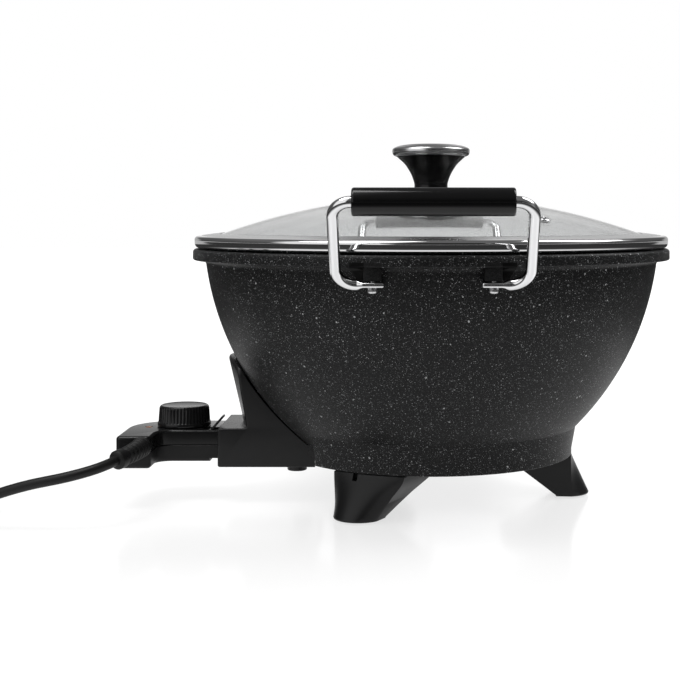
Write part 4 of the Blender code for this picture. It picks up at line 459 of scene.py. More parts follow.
def moulded_black(name, clouds, low, high, sheen, normal, specular=0.3):
    """A black moulding: clouds of a size in its black, patches with more or
    less sheen, and the grain of its mould."""
    return finish(name, Specular_IOR_Level=specular, Base_Color=cloudy(clouds, low, high, 3.0),
                  Roughness=cloudy(*sheen), Normal=normal)


satin_black = moulded_black("satin_black", 0.02, (0.0085, 0.0085, 0.009), (0.0125, 0.0125, 0.013),
                            (0.06, 0.30, 0.42), satin(0.03))
pad_rubber = finish(
    "pad_rubber", Base_Color=cloudy(0.2, (0.016, 0.016, 0.016), (0.035, 0.034, 0.033)),
    Roughness=0.85, Normal=satin(0.06, 0.9))


def leg_ring(rise, flare, height, shrink=0.0):
    """The D-shaped section: a straight inner side, a round nose and one end
    that flares."""
    nose = arc(94.0, 0, 16.5 - shrink, -80, 80, 28)
    top = arc(0, 0, RING_R - shrink, -10.29, 19.68, 28)
    foot = [(86 + shrink, -15.5 + shrink)] + nose + [(86 + shrink, 15.5 - shrink)]
    head = [(50 + shrink, -17.5 + shrink)] + top + [(50 + shrink, 33.0 - shrink)]
    return [(a[0] + (b[0] - a[0]) * rise, a[1] + (b[1] - a[1]) * flare, height)
            for a, b in zip(foot, head)]


def looked_up(table, share):
    """A value read off a table of pairs, in a straight line between two."""
    for (a, low), (b, high) in zip(table, table[1:]):
        if share <= b:
            return low + (high - low) * (share - a) / (b - a)
    return table[-1][1]


def rod(radius, low, high, sides, lie=None):
    """A round bar about +Z, or where a matrix lays it."""
    return turned([(0, low), (radius, low), (radius, high), (0, high)], sides, lie)


for name, angle in LEG_TURNS.items():
    rings = [leg_ring(0, 0, LEG_LOW, 1.2), leg_ring(0, 0, LEG_LOW + 0.35, 0.35)]
    for i in range(15):
        share = i / 14
        height = LEG_LOW + 1.2 + (LEG_TOP - 0.5 - LEG_LOW - 1.2) * share
        rings.append(leg_ring(share, looked_up(LEG_FLARE, share), height))
    rings.append(leg_ring(1, 1, LEG_TOP, 0.5))
    screw_place, pad_place = (Matrix.Translation((r, 0, 0)) for r in (LEG_SCREW_R, PAD_R))
    leg = cut(lofted(rings), joined(
        block((RING_R - 3, -1.8, LEG_TOP - 4.5), (RING_R + 4, 1.8, LEG_TOP + 2), 0.3, 1),
        turned([(0, -2), (4.25, -2), (4.25, 20), (1.8, 20), (1.8, 32), (0, 32)], 40, screw_place),
        rod(6.1, -2, 3.0, 48, pad_place)))
    pad = turned([(0, 0.5), (2.4, 0.5), (2.9, 0.0), (4.9, 0.0)] + arc(5.0, 0.8, 0.8, -90, 0, 5)
                 + [(5.8, 2.7), (0, 2.7)], 64, pad_place)
    turn = Matrix.Rotation(math.radians(angle), 4, "Z")
    for shape in (leg, pad):
        bmesh.ops.transform(shape, matrix=turn, verts=shape.verts)
    put("moulded_leg_" + name, leg, satin_black, "wok", "leg_" + name, slot="black_plastic")
    put("rubber_pad_" + name, pad, pad_rubber, "wok", "foot_pad_" + name, slot="black_rubber")
    spot = turn @ Vector((LEG_SCREW_R, 0, 0))
    put("cross_screw_leg_" + name, pan_head(spot.x, spot.y, 19.7, 39, angle + 25), screw_steel,
        "wok", "leg_screw_" + name, slot="polished_steel")

# Each handle is a 6.8 mm steel wire, bent cold, flattened at both ends, bright
# chrome plated and screwed up into two lugs. A phenolic tube is slipped over
# its middle as a grip.
WIRE_R, WIRE_X, WIRE_END_X, GRIP_Y, GRIP_Z = 3.4, 57.3, 29.0, 196.5, 203.8
FLAT_W, FLAT_T = 4.2, 1.8
FLAT_Z = LUG_Z - 0.3 - FLAT_T
chrome = finish(
    "chrome", Metallic=1.0, Base_Color=(0.80, 0.80, 0.81), Roughness=cloudy(0.05, 0.045, 0.085),
    Normal=lambda p: p.noise(0.06).bump(0.12, 0.05))
grip_black = moulded_black("grip_black", 0.05, (0.004, 0.004, 0.0043), (0.007, 0.007, 0.0073),
                           (0.08, 0.11, 0.17), satin(0.008, 1.2), 0.35)


def bend(corner, start, end, radius, steps):
    """Points of a round bend at a corner between two runs."""
    first, second = (start - corner).normalized(), (end - corner).normalized()
    half = first.angle(second) / 2
    middle = corner + (first + second).normalized() * (radius / math.sin(half))
    a = corner + first * (radius / math.tan(half)) - middle
    b = corner + second * (radius / math.tan(half)) - middle
    turn = a.angle(b)
    return [middle + a * (math.sin((1 - i / steps) * turn) / math.sin(turn))
            + b * (math.sin(i / steps * turn) / math.sin(turn)) for i in range(steps + 1)]


def squared(turn, squareness):
    """Cosine and sine of a turn, drawn out towards the corners of a square."""
    return [math.copysign(abs(f(turn)) ** (1 - squareness / 2), f(turn))
            for f in (math.cos, math.sin)]


def swept(path, sections, sides=28):
    """A bar through points, each with half width along Y, half thickness and
    squareness."""
    rings = []
    for i, (point, (wide, thick, squareness)) in enumerate(zip(path, sections)):
        along = (path[min(i + 1, len(path) - 1)] - path[max(i - 1, 0)]).normalized()
        across = (Vector((0, 1, 0)) - along * along.y).normalized()
        up = along.cross(across)
        corners = [squared(math.tau * k / sides, squareness) for k in range(sides)]
        rings.append([point + across * c * wide + up * s * thick for c, s in corners])
    return lofted(rings)


flat, bar = (FLAT_W, FLAT_T, 0.8), (WIRE_R, WIRE_R, 0)
WIRE_END = ((0, (3.7, 1.3, 0.8)), (0.3, (4.05, 1.65, 0.8)), (0.9, flat), (6, flat), (11.8, flat),
            (13.2, (4.0, 2.2, 0.5)), (14.6, (3.6, 3.0, 0.2)), (15.8, bar))
for name, side in (("front", -1), ("rear", 1)):
    end = Vector((WIRE_END_X, side * FLAT_Y, FLAT_Z))
    low = Vector((WIRE_X, side * FLAT_Y, FLAT_Z))
    high = Vector((WIRE_X, side * GRIP_Y, GRIP_Z))
    middle = Vector((0, side * GRIP_Y, GRIP_Z))
    run = [end + Vector((reach, 0, 0)) for reach, section in WIRE_END]
    tail = bend(low, end, high, 12.5, 18) + bend(high, low, middle, 10.8, 18)
    sections = [section for reach, section in WIRE_END] + [bar] * len(tail)
    run += tail
    run += [Vector((-p.x, p.y, p.z)) for p in reversed(run)]
    wire = swept(run, sections + sections[::-1])
    put(name + "_chrome_wire", wire, chrome, "wok", name + "_handle_wire", sharp=50,
        slot="chrome_wire")
    lie = Matrix.Translation(middle) @ Matrix.Rotation(math.pi / 2, 4, "Y")
    outline = [(3.6, -45.3), (4.3, -46.1)] + arc(6.7, -44.7, 1.4, -90, 0, 6)
    outline += arc(6.7, 44.7, 1.4, 0, 90, 6) + [(4.3, 46.1), (3.6, 45.3)]
    put(name + "_grip_tube", turned(outline, 96, lie), grip_black, "wok",
        name + "_handle_grip", slot="black_plastic")
    for x, label, twist in ((-LUG_X, "left", 12), (LUG_X, "right", 51)):
        put(name + "_cross_screw_" + label,
            pan_head(x, side * FLAT_Y, LUG_Z - 3.9, LUG_Z + 7.2, twist), screw_steel, "wok",
            name + "_handle_screw_" + label, slot="polished_steel")

# The socket housing is a black moulding screwed up under the bowl. Its box
# takes the controller, and its fin follows the bowl's wall a little way off
# it to keep hands from the hot metal. Its bosses hide the two screws.
HOUSE_X0, HOUSE_X1, HOUSE_W = 79.0, 145.2, 33.0
HOUSE_LOW, HOUSE_HIGH, HOUSE_WALL = 24.5, 50.8, 2.4
HOUSE_SCREW_X, HOUSE_SCREW_Y, HOUSE_SEAT_Z = -92, 22, 24.8
FIN_TOP, FIN_SIDE, FIN_FOOT_X, FIN_FOOT_Z, FIN_LEAN = 98.4, 88.5, 131.3, 56.0, 0.246
FIN_BOW, FIN_BOW_MORE, FIN_ROOT_R, FIN_CREST_R = 5.5, 3.5, 3.4, 2.4


def housing_ring(y, inset, inner):
    """The outline across the housing at a distance from its middle."""
    share = min(1.0, abs(y) / HOUSE_W)
    crown = FIN_SIDE + (FIN_TOP - FIN_SIDE) * math.sqrt(1 - share ** 2) - inset
    end, low, high = HOUSE_X1 - inset, HOUSE_LOW + inset, HOUSE_HIGH - inset
    root, crest = high + FIN_ROOT_R, crown - FIN_CREST_R

    def fin(z):
        climb = (z - FIN_FOOT_Z) / (FIN_TOP - FIN_FOOT_Z)
        bow = (FIN_BOW + FIN_BOW_MORE * climb) * share ** 2
        return FIN_FOOT_X + (z - FIN_FOOT_Z) * FIN_LEAN - bow - inset

    points = [(inner, low), (end - 22, low)] + arc(end - 1.5, low + 1.5, 1.5, -90, 0, 6)
    points += arc(end - 1.1, high - 1.1, 1.1, 0, 90, 6)
    points += eased((fin(high) + FIN_ROOT_R, high), (fin(high), high), (fin(root), root), 6)
    points += [(fin(z), z) for z in (root + (crest - root) * i / 8 for i in range(1, 8))]
    points += [(fin(z) + x, z) for x, z in arc(-FIN_CREST_R, crest, FIN_CREST_R, 0, 90, 8)]
    points.append((inner, crown))
    return [Vector((-x, y, z)) for x, z in points]


def housing_shape(wall, edge):
    """Rings from side to side, with rounded outer edges."""
    half = HOUSE_W - wall - edge
    sides = [(half + edge * math.sin(t), edge * (1 - math.cos(t)))
             for t in (math.pi / 2 * i / 6 for i in range(6, 0, -1))] if edge else [(half, 0)]
    rings = sides + [(half * math.sin(math.pi / 2 * i / 14), 0) for i in range(14, 0, -1)]
    rings = [(-y, inset) for y, inset in rings] + [(0, 0)] + rings[::-1]
    return lofted([housing_ring(y, inset + wall, HOUSE_X0 - (2 if wall else 0))
                   for y, inset in rings])


def housing_solid():
    """The shell with its bosses, cut to the bowl's wall, open at its outer
    end and drilled for its screws."""
    places = [Matrix.Translation((HOUSE_SCREW_X, y, 0)) for y in (-HOUSE_SCREW_Y, HOUSE_SCREW_Y)]
    shape = housing_shape(0.0, 1.2)
    for place in places:
        boss = [(0, 21.0), (5.9, 21.0)] + arc(5.9, 21.8, 0.8, -90, 0, 5) + [(6.7, 27), (0, 27)]
        shape = cut(shape, turned(boss, 48, place), "UNION")
    shape = cut(shape, housing_shape(HOUSE_WALL, 0.0))
    heights = [39.7 + 2.2 * i for i in range(30)]
    wall = [(wall_radius(z) + 1.0 + 0.04 * i, z) for i, z in enumerate(heights)]
    shape = cut(shape, turned([(0, heights[0])] + wall + [(0, heights[-1])], 192))
    shape = cut(shape, block((-147, -18.1, 29.9), (-140, 18.1, 44.1)))
    for place in places:
        well = [(0, 15), (3.65, 15), (3.65, HOUSE_SEAT_Z), (1.8, HOUSE_SEAT_Z), (1.8, 33), (0, 33)]
        shape = cut(shape, turned(well, 40, place))
    return shape


housing_black = moulded_black("housing_black", 0.02, (0.014, 0.014, 0.0145),
                              (0.018, 0.018, 0.0185), (0.07, 0.22, 0.30), satin(0.03, 1.8))
put("housing_moulding", housing_solid(), housing_black, "wok", "socket_housing", sharp=35,
    slot="black_plastic")
for y, label in ((-HOUSE_SCREW_Y, "front"), (HOUSE_SCREW_Y, "rear")):
    put("housing_cross_screw_" + label, pan_head(HOUSE_SCREW_X, y, 24.5, 36.8, 30 + y),
        screw_steel, "wok", "housing_screw_" + label, slot="polished_steel")

# Inside the housing a ceramic block carries the two contact pins of the
# heating element.
steatite = finish("steatite", Base_Color=cloudy(0.15, (0.62, 0.59, 0.53), (0.72, 0.69, 0.63)),
                  Roughness=0.6, Normal=satin(0.05, 0.8))
brass = finish("brass", Metallic=1.0,
               Base_Color=cloudy(0.1, (0.66, 0.50, 0.26), (0.74, 0.59, 0.34), 3.0),
               Roughness=cloudy(0.6, 0.24, 0.38, 3.0))
dress(steatite, "inlet_block", "thermostat")
dress(brass, "inlet_pin_front", "inlet_pin_rear", "contact_sleeve_front", "contact_sleeve_rear")

# The controller is a clip-together case in two halves, bent like an elbow.
# Its nose carries the sleeves for the contacts and, between them, the steel
# probe that feels the bowl's heat.
FACE_X, FRONT_Y, REAR_Y = 145.3, -24.5, 21.0
CASE_LOW, CASE_HIGH, CASE_EDGE, PARTING = 27.0, 48.5, 2.2, 38.2
TAIL_X0, TAIL_X1, TAIL_Y = -190.0, -207.3, -48.5
PROBE_Z = 36.2
LEVER_PIN = Vector((-152.8, -16.0, 46.2))
DIAL_X, DIAL_Y = -172.7, -2.5
LENS_X, LENS_Y = -196.0, -10.0


def elbow(face):
    """The controller's outline in plan, clockwise from the socket side."""
    points = [(-face, FRONT_Y)] + arc(-177, FRONT_Y - 10, 10, 90, 180, 14)
    points += arc(TAIL_X0, TAIL_Y, 3, 0, -90, 8) + arc(TAIL_X1, TAIL_Y, 3, -90, -180, 8)
    return points + arc(-177.3, REAR_Y - 33, 33, 180, 90, 26) + [(-face, REAR_Y)]


def inset_by(outline, distance):
    """A clockwise outline moved inwards."""
    moved = []
    for i, point in enumerate(outline):
        here = Vector(point)
        before = (here - Vector(outline[i - 1])).normalized()
        after = (Vector(outline[(i + 1) % len(outline)]) - here).normalized()
        normal = Vector((before.y + after.y, -before.x - after.x)).normalized()
        spread = max(0.5, normal.dot(Vector((before.y, -before.x))))
        moved.append(here + normal * distance / spread)
    return moved


def case_half(edge, split, extra):
    """Half of the case: a rounded outer edge, a small bevel at the parting,
    hollow behind the nose."""
    toward = math.copysign(1, split - edge)
    levels = [(edge + toward * CASE_EDGE * (1 - math.sin(t)), CASE_EDGE * (1 - math.cos(t)))
              for t in (math.pi / 2 * i / 6 for i in range(6, -1, -1))]
    levels += [(split - toward * 0.35, 0), (split, 0.3)]
    shape = lofted([[(*p, z) for p in inset_by(elbow(FACE_X), shrink)] for z, shrink in levels])
    hollow = inset_by(elbow(156.0), 2.3)
    tools = [lofted([[(*p, z) for p in hollow] for z in (edge + toward * 2.3, split + toward * 2)]),
             block((-150.8, -17.8, 30.2), (-143, 17.8, 43.8))]
    lie = Matrix.Rotation(math.pi / 2, 4, "Y")
    for y, radius in ((-12, 4.5), (0, 3.6), (12, 4.5)):
        tools.append(rod(radius, 0, 9.5, 40, Matrix.Translation((-158, y, PROBE_Z)) @ lie))
    for tool in tools + extra:
        shape = cut(shape, tool)
    return shape


def pin_bore(half):
    """A cutter for the lever's pin."""
    return rod(1.3, -half, half, 24,
               Matrix.Translation(LEVER_PIN) @ Matrix.Rotation(math.pi / 2, 4, "X"))


case_black = moulded_black("case_black", 0.03, (0.0095, 0.0095, 0.0098), (0.013, 0.013, 0.0133),
                           (0.07, 0.15, 0.22), satin(0.012, 1.6))
lower_black = moulded_black("lower_black", 0.03, (0.012, 0.012, 0.0123), (0.016, 0.016, 0.0163),
                            (0.07, 0.36, 0.45), satin(0.03, 1.6))
step = block((-151.7, -27, 25), (-143, 24, 29.3))
lever_slot = block((-157.0, -21.1, 44.1), (-143, -10.9, 51))
shaft_hole = rod(3.3, 43, 51, 32, Matrix.Translation((DIAL_X, DIAL_Y, 0)))
lens_hole = rod(2.8, 43, 51, 32, Matrix.Translation((LENS_X, LENS_Y, 0)))
put("case_lower", case_half(CASE_LOW, PARTING - 0.15, [step]), lower_black, "controller",
    "controller_lower_shell", sharp=35, slot="black_plastic")
put("case_upper", case_half(CASE_HIGH, PARTING + 0.15,
                            [lever_slot, pin_bore(7.1), shaft_hole, lens_hole]),
    case_black, "controller", "controller_upper_shell", sharp=35, slot="black_plastic")
gloss_black = finish("gloss_black", Base_Color=(0.009, 0.009, 0.0095),
                     Roughness=cloudy(0.08, 0.12, 0.2, 3.0))
dress(gloss_black, "controller_nose")
probe_steel = finish("probe_steel", Metallic=1.0, Base_Color=(0.60, 0.58, 0.55),
                     Roughness=lambda p: brushed(p).mixed(0.2, 0.36))
dress(probe_steel, "heat_probe", "lever_pin", "dial_shaft")
amber = finish("amber", Base_Color=(0.62, 0.20, 0.03), IOR=1.49, Transmission_Weight=0.6,
               Roughness=cloudy(0.3, 0.05, 0.14, 2.0))
lens = [(0, 46.2), (2.5, 46.2), (2.5, 48.4)] + arc(0, 43.1, 5.8, 64.5, 90, 8)[:-1] + [(0, 48.9)]
put("amber_lamp_lens", turned(lens, 40, Matrix.Translation((LENS_X, LENS_Y, 0))), amber,
    "controller", "indicator_lens", slot="amber_lens")


def lever_shape():
    """A thin blade with a rounded tip on a round hub, its edges broken."""
    pivot, tip = LEVER_PIN.xz, Vector((-143.6, 56.7))
    hub_r, tip_r = 1.9, 0.8
    along = (tip - pivot).normalized()
    lean = math.degrees(math.atan2(along.y, along.x))
    turn = math.degrees(math.asin(tip_r / hub_r))
    outline = arc(*pivot, hub_r, lean + turn, lean + 360 - turn, 28)
    outline += arc(*tip, tip_r, lean - 90, lean + 90, 8)
    rings = []
    for y, bevel in ((-20.7, 0.25), (-20.45, 0), (-11.55, 0), (-11.3, 0.25)):
        ring = []
        for point in map(Vector, outline):
            spine = pivot + along * max(0, (point - pivot).dot(along))
            point = point - (point - spine).normalized() * bevel
            ring.append((point.x, y, point.y))
        rings.append(ring)
    return cut(lofted(rings), pin_bore(9))


put("eject_lever", lever_shape(), case_black, "ejector", "ejector_lever", sharp=35,
    slot="black_plastic")


def dial_shape():
    """A skirt, a ribbed grip and a top that dips inside a thin rim."""
    ribs, steps = 48, 6
    levels = [(48.8, 17.9, 0), (49.1, 18.4, 0), (49.5, 18.5, 0), (51.0, 18.45, 0), (51.5, 18.2, 0),
              (51.6, 17.9, 0), (52.2, 17.85, 0.5), (60.9, 17.25, 0.5), (61.8, 17.0, 0.3),
              (62.5, 16.5, 0), (62.9, 15.9, 0), (63.0, 15.4, 0), (62.7, 14.8, 0), (62.55, 14.0, 0)]
    rings = []
    for z, radius, depth in levels:
        ring = []
        for k in range(ribs * steps):
            turn = math.tau * k / (ribs * steps)
            reach = radius - depth * (0.5 - 0.5 * math.cos(turn * ribs)) ** 0.7
            ring.append((DIAL_X + reach * math.cos(turn), DIAL_Y + reach * math.sin(turn), z))
        rings.append(ring)
    return cut(lofted(rings), rod(3.3, 46, 58.5, 32, Matrix.Translation((DIAL_X, DIAL_Y, 0))))


put("ribbed_dial", dial_shape(), case_black, "dial", "dial", sharp=40, slot="black_plastic")

# The lead is a round rubber-sheathed cord. A ribbed boot moulded on it grips
# it where it leaves the controller, the spare length lies coiled in two
# layers under a band, and a two-pin plug is moulded on its end.
CORD_R = 3.3
BOOT_R, BOOT_END_R, BOOT_COLLAR_R = 6.9, 5.5, 6.2
RIBS_FROM, RIBS_TO, RIB_SHARE, COLLAR_END = 0.12, 0.84, 0.12, 0.96
BOOT_ROUTE = ((-193.0, -51.9, 41.7), (-193.0, -60.0, 41.7), (-194.2, -71.0, 41.6),
              (-196.3, -80.5, 41.2), (-198.7, -88.5, 40.5), (-200.9, -93.2, 39.9))
CORD_ROUTE = ((-198.9, -88.8, 40.5), (-202.6, -96.6, 39.4), (-209.5, -104.0, 37.3),
              (-219.0, -108.0, 34.8), (-232.0, -109.5, 31.8), (-248.0, -109.0, 28.5),
              (-262.0, -108.0, 24.8), (-276.0, -106.6, 20.1), (-289.0, -105.3, 14.6),
              (-301.0, -104.4, 9.2), (-311.5, -104.0, 5.4), (-321.0, -104.0, 3.7),
              (-328.4, -104.0, 3.6))
COIL = Vector((-335.3, -60.0))
COIL_R, COIL_PITCH, COIL_RISE, COIL_TURNS = 44.0, 7.3, 7.2, 4.25
CORD_Z, PLUG_Z = CORD_R + 0.3, 13.8


def smooth_through(points, per_span):
    """A smooth run of points through a route's points."""
    points = [Vector(p) for p in points]
    points = [points[0] * 2 - points[1]] + points + [points[-1] * 2 - points[-2]]
    path = []
    for a, b, c, d in zip(points, points[1:], points[2:], points[3:]):
        for i in range(per_span):
            t = i / per_span
            path.append((b * 2 + (c - a) * t + (a * 2 - b * 5 + c * 4 - d) * t ** 2
                         + (b * 3 - a - c * 3 + d) * t ** 3) / 2)
    return path + [points[-2]]


def coil_path():
    """In along the floor for two turns, up, and out again on top."""
    path = [Vector((COIL.x + 2 * CORD_R, COIL.y - COIL_R, CORD_Z))]
    for i in range(round(COIL_TURNS * 24) + 1):
        turn = i / 24
        climb = min(max((turn - 2) / 0.5, 0), 1)
        inward = min(turn, 2) + (climb - climb * climb) * 0.5
        radius = COIL_R - COIL_PITCH * (inward - max(0, turn - 2.5))
        angle = -math.pi / 2 - math.tau * turn
        path.append(Vector((COIL.x + radius * math.cos(angle), COIL.y + radius * math.sin(angle),
                            CORD_Z + COIL_RISE * climb * climb * (3 - 2 * climb))))
    return path


coil = coil_path()
heading = (coil[-1] - coil[-2]).normalized()
plug_start = Vector((coil[-1].x, coil[-1].y + 34, PLUG_Z))
straight = Vector((0, 2 * CORD_R, 0))
coil += smooth_through([coil[-1], coil[-1] + heading * 2 * CORD_R, plug_start - straight * 2,
                        plug_start - straight, plug_start], 2)[1:]
cord_points = smooth_through(CORD_ROUTE, 2) + coil

cord_rubber = moulded_black("cord_rubber", 0.04, (0.0075, 0.0075, 0.008), (0.0135, 0.0133, 0.013),
                            (0.12, 0.36, 0.50), satin(0.03, 0.8))
boot_rubber = moulded_black("boot_rubber", 0.06, (0.008, 0.008, 0.0085), (0.013, 0.013, 0.013),
                            (0.2, 0.42, 0.55), satin(0.03, 1.0))


def tube(path, radii, sides):
    """A tube round a path whose rings keep their own turn, with a radius for
    each point."""
    side = (path[1] - path[0]).normalized().cross(Vector((0, 0, 1)))
    rings = []
    for i, (point, radius) in enumerate(zip(path, radii)):
        along = (path[min(i + 1, len(path) - 1)] - path[max(i - 1, 0)]).normalized()
        side = (side - along * side.dot(along)).normalized()
        up = side.cross(along)
        rings.append([point + side * (radius * math.cos(math.tau * k / sides))
                      + up * (radius * math.sin(math.tau * k / sides)) for k in range(sides)])
    return lofted(rings)


def run_length(path):
    return sum((b - a).length for a, b in zip(path, path[1:]))


def boot_radii(path):
    """A collar, ribs that get smaller along the boot, and a collar again."""
    gone, total, radii = 0.0, run_length(path), []
    for i, point in enumerate(path):
        gone += (point - path[i - 1]).length if i else 0
        share = gone / total
        radius = BOOT_R + (BOOT_END_R - BOOT_R) * share
        if RIBS_FROM < share < RIBS_TO:
            wave = math.cos((share - RIBS_FROM) * math.tau / RIB_SHARE)
            radius -= 1.2 * min(1, max(0, 0.62 - 0.85 * wave))
        if share > RIBS_TO:
            radius = BOOT_COLLAR_R - 1.4 * max(0, (share - COLLAR_END) / (1 - COLLAR_END)) ** 2
        radii.append(min(radius, BOOT_R - 0.5 * max(0, 1 - gone / 0.5)))
    return radii


cord_length = run_length(cord_points)
boot_path = smooth_through(BOOT_ROUTE, 36)
put("ribbed_boot", tube(boot_path, boot_radii(boot_path), 40), boot_rubber, "controller",
    "strain_relief_boot", sharp=50, slot="black_rubber")
cord_path = smooth_through(cord_points, 4)
cord = put("rubber_cord", tube(cord_path, [CORD_R] * len(cord_path), 24), cord_rubber,
           "controller", "cord_lead", "cord_coil", sharp=60, slot="black_rubber")


def plug_shape():
    """A soft sleeve that runs into a rounded oval body."""
    levels = [(0, 4.6, 4.6), (0.5, 5.2, 5.2), (5, 5.35, 5.35), (5.4, 4.6, 4.6), (6.6, 4.6, 4.6),
              (7.0, 5.8, 5.8), (10.4, 6.1, 6.1), (10.8, 5.1, 5.1), (12.0, 5.1, 5.1),
              (12.4, 6.6, 6.6), (15.0, 7.0, 7.0), (16.5, 8.0, 7.6), (19, 11.6, 9.4),
              (22.5, 14.6, 11.2), (27, 16.6, 12.6), (33, 17.7, 13.3), (39, 18.0, 13.5),
              (45.6, 17.8, 13.3), (47.2, 17.3, 12.9), (48.0, 16.4, 12.1)]
    start = plug_start + Vector((0, 0.3, 0))
    corners = [squared(math.tau * k / 64, 0.2) for k in range(64)]
    return lofted([[start + Vector((c * wide, reach, s * high)) for c, s in corners]
                   for reach, wide, high in levels])


plug = put("moulded_plug", plug_shape(), boot_rubber, "controller", "plug_body", sharp=40,
           slot="black_rubber")
nickel = finish("nickel", Metallic=1.0, Base_Color=(0.70, 0.68, 0.64),
                Roughness=cloudy(0.5, 0.16, 0.28, 3.0))
for x, label in ((-9.5, "left"), (9.5, "right")):
    lie = (Matrix.Translation(plug_start + Vector((x, 47.7, 0)))
           @ Matrix.Rotation(-math.pi / 2, 4, "X"))
    outline = [(0, 0), (2.4, 0), (2.4, 17.6)] + arc(0.9, 17.6, 1.5, 0, 80, 6) + [(0, 19.4)]
    put("plug_contact_" + label, turned(outline, 32, lie), nickel, "controller",
                    "plug_pin_" + label, slot="polished_steel")


def cable_tie():
    """A thin band round all the windings where the coil is thickest."""
    inner, outer = COIL_R - 2 * COIL_PITCH - 5.0, COIL_R + CORD_R + 0.75
    low, high = 0.55, 3.9 + COIL_RISE + CORD_R + 0.9
    loop, bend_r = [], 4
    for x, y, turn in ((outer - bend_r, low + bend_r, -90), (outer - bend_r, high - bend_r, 0),
                       (inner + bend_r, high - bend_r, 90), (inner + bend_r, low + bend_r, 180)):
        loop += arc(x, y, bend_r, turn, turn + 90, 8)
    middle = Vector(((outer + inner) / 2, (high + low) / 2))
    rings = []
    for width, thin in ((-3.0, 0), (-3.0, 0.5), (3.0, 0.5), (3.0, 0)):
        ring = []
        for x, z in loop:
            out = (Vector((x, z)) - middle).normalized() * thin
            ring.append(Vector((COIL.x + x + out.x, COIL.y + width, z + out.y)))
        rings.append(ring)
    return lofted(rings, closed=True)


tie = put("coil_tie", cable_tie(), boot_rubber, "controller", sharp=40)
metres = [tuple((p + Vector((AXIS_X, 0, 0))) / 1000) for p in cord_points]

# The lid is a dome of tempered glass with a rolled band of polished steel
# pressed round its edge and a steel eyelet for the steam. The band's skirt
# drops inside the bowl and keeps the lid in place.
BAND_R, BAND_HIGH, BAND_T = 163.9, 181.5, 1.2
LIP_R, LIP_TOP, EDGE_R = 147.6, 183.2, 160.6
APEX, GLASS_T, BOLT_HOLE_R = 208.8, 3.8, 4.5


def glass_z(radius):
    """Height of the glass's upper face at a radius."""
    lip = LIP_TOP - BAND_T
    drop = APEX - lip
    ball = (drop ** 2 + LIP_R ** 2) / (drop * 2)
    if radius <= LIP_R:
        return APEX - ball + math.sqrt(ball ** 2 - radius ** 2)
    return lip + (BAND_HIGH - BAND_T - lip) * (radius - LIP_R) / (EDGE_R - LIP_R)


def glass_shape():
    """The dome with the bolt's hole in its middle and a round edge."""
    radii = [BOLT_HOLE_R + (LIP_R - BOLT_HOLE_R) * i / 40 for i in range(41)] + [152, 156.5, 159.4]
    upper = [(r, glass_z(r)) for r in radii]
    edge = glass_z(EDGE_R) - GLASS_T / 2
    return turned(upper + arc(EDGE_R - 1.2, edge, 1.2, 60, -60, 8)
                  + [(r, z - GLASS_T) for r, z in reversed(upper)], 192)


def band_shape():
    """The lip on the glass, a round shoulder, an outer face that leans in
    to a small hem, the seat and the skirt."""
    seat = RIM_Z + 0.3
    skirt = wall_radius(RIM_Z, WALL_T) - 1.7
    outline = [(LIP_R + 0.4, glass_z(LIP_R) + 0.25)]
    outline += arc(LIP_R + 0.6, LIP_TOP - 0.6, 0.6, 180, 70, 6)
    outline += [(152.5, 182.75), (158.0, 181.95)]
    outline += arc(BAND_R - 2.6, BAND_HIGH - 2.6, 2.6, 78, 0, 18)
    outline += [(BAND_R - 0.02, 178.4), (BAND_R - 0.1, 176.9)]
    outline += arc(BAND_R - 3.5, 176.7, 3.4, -4, -72, 14)
    outline += [(BAND_R - 2.9, 173.9), (158.6, 174.8), (157.6, 174.4), (157.1, 173.4)]
    outline += arc(skirt + 4.6, seat + 0.5, 0.5, 0, -90, 4) + [(skirt + 0.8, seat)]
    outline += [(skirt, seat - 0.8), (skirt, seat - 4.2), (skirt - 0.45, seat - 4.4),
                (skirt - 0.9, seat - 4.2), (skirt - 0.9, seat + 0.9)]
    outline += [(EDGE_R + 0.3, glass_z(EDGE_R) - GLASS_T - 0.3),
                (EDGE_R + 0.3, glass_z(EDGE_R) + 0.25)]
    return turned(outline, 192)


def band_gloss(place):
    """The lip, pressed over the glass, is duller than the turned side."""
    return (place.axis("Z") > 0.1818).mixed(cloudy(0.03, 0.03, 0.07)(place), 0.24)


glass = finish("glass", Base_Color=(0.92, 0.93, 0.93), IOR=1.5, Transmission_Weight=1.0,
               Roughness=cloudy(0.01, 0.0, 0.035, 3.0))
polished_band = finish(
    "polished_band", Metallic=1.0, Base_Color=(0.74, 0.74, 0.745), Roughness=band_gloss,
    Normal=lambda p: p.noise(0.02, 3.0).bump(0.2, 0.08))
put("glass_dome", glass_shape(), glass, "lid", "lid_glass", sharp=30, slot="clear_glass")
put("steel_band", band_shape(), polished_band, "lid", "lid_band", sharp=45, slot="polished_steel")
vent = Vector((72, -87))
slope = (glass_z(vent.length + 0.3) - glass_z(vent.length - 0.3)) / 0.6
normal = (Vector((0, 0, 1)) - vent.normalized().to_3d() * slope).normalized()
place = Vector((vent.x, vent.y, glass_z(vent.length))) - normal * GLASS_T / 2
half = GLASS_T / 2 + 0.05
flange = [(1.6, half + 0.7)] + arc(2.1, half + 0.4, 0.55, 140, 60, 4)
flange += [(3.3, half + 0.55), (3.7, half + 0.15), (3.7, half)]
eyelet = flange + [(2.9, half), (2.9, -half)] + [(r, -z) for r, z in reversed(flange)]
put("steam_eyelet", turned(eyelet, 40, Matrix.Translation(place)
                           @ normal.to_track_quat("Z", "Y").to_matrix().to_4x4()),
    screw_steel, "lid", "vent_eyelet", slot="polished_steel")

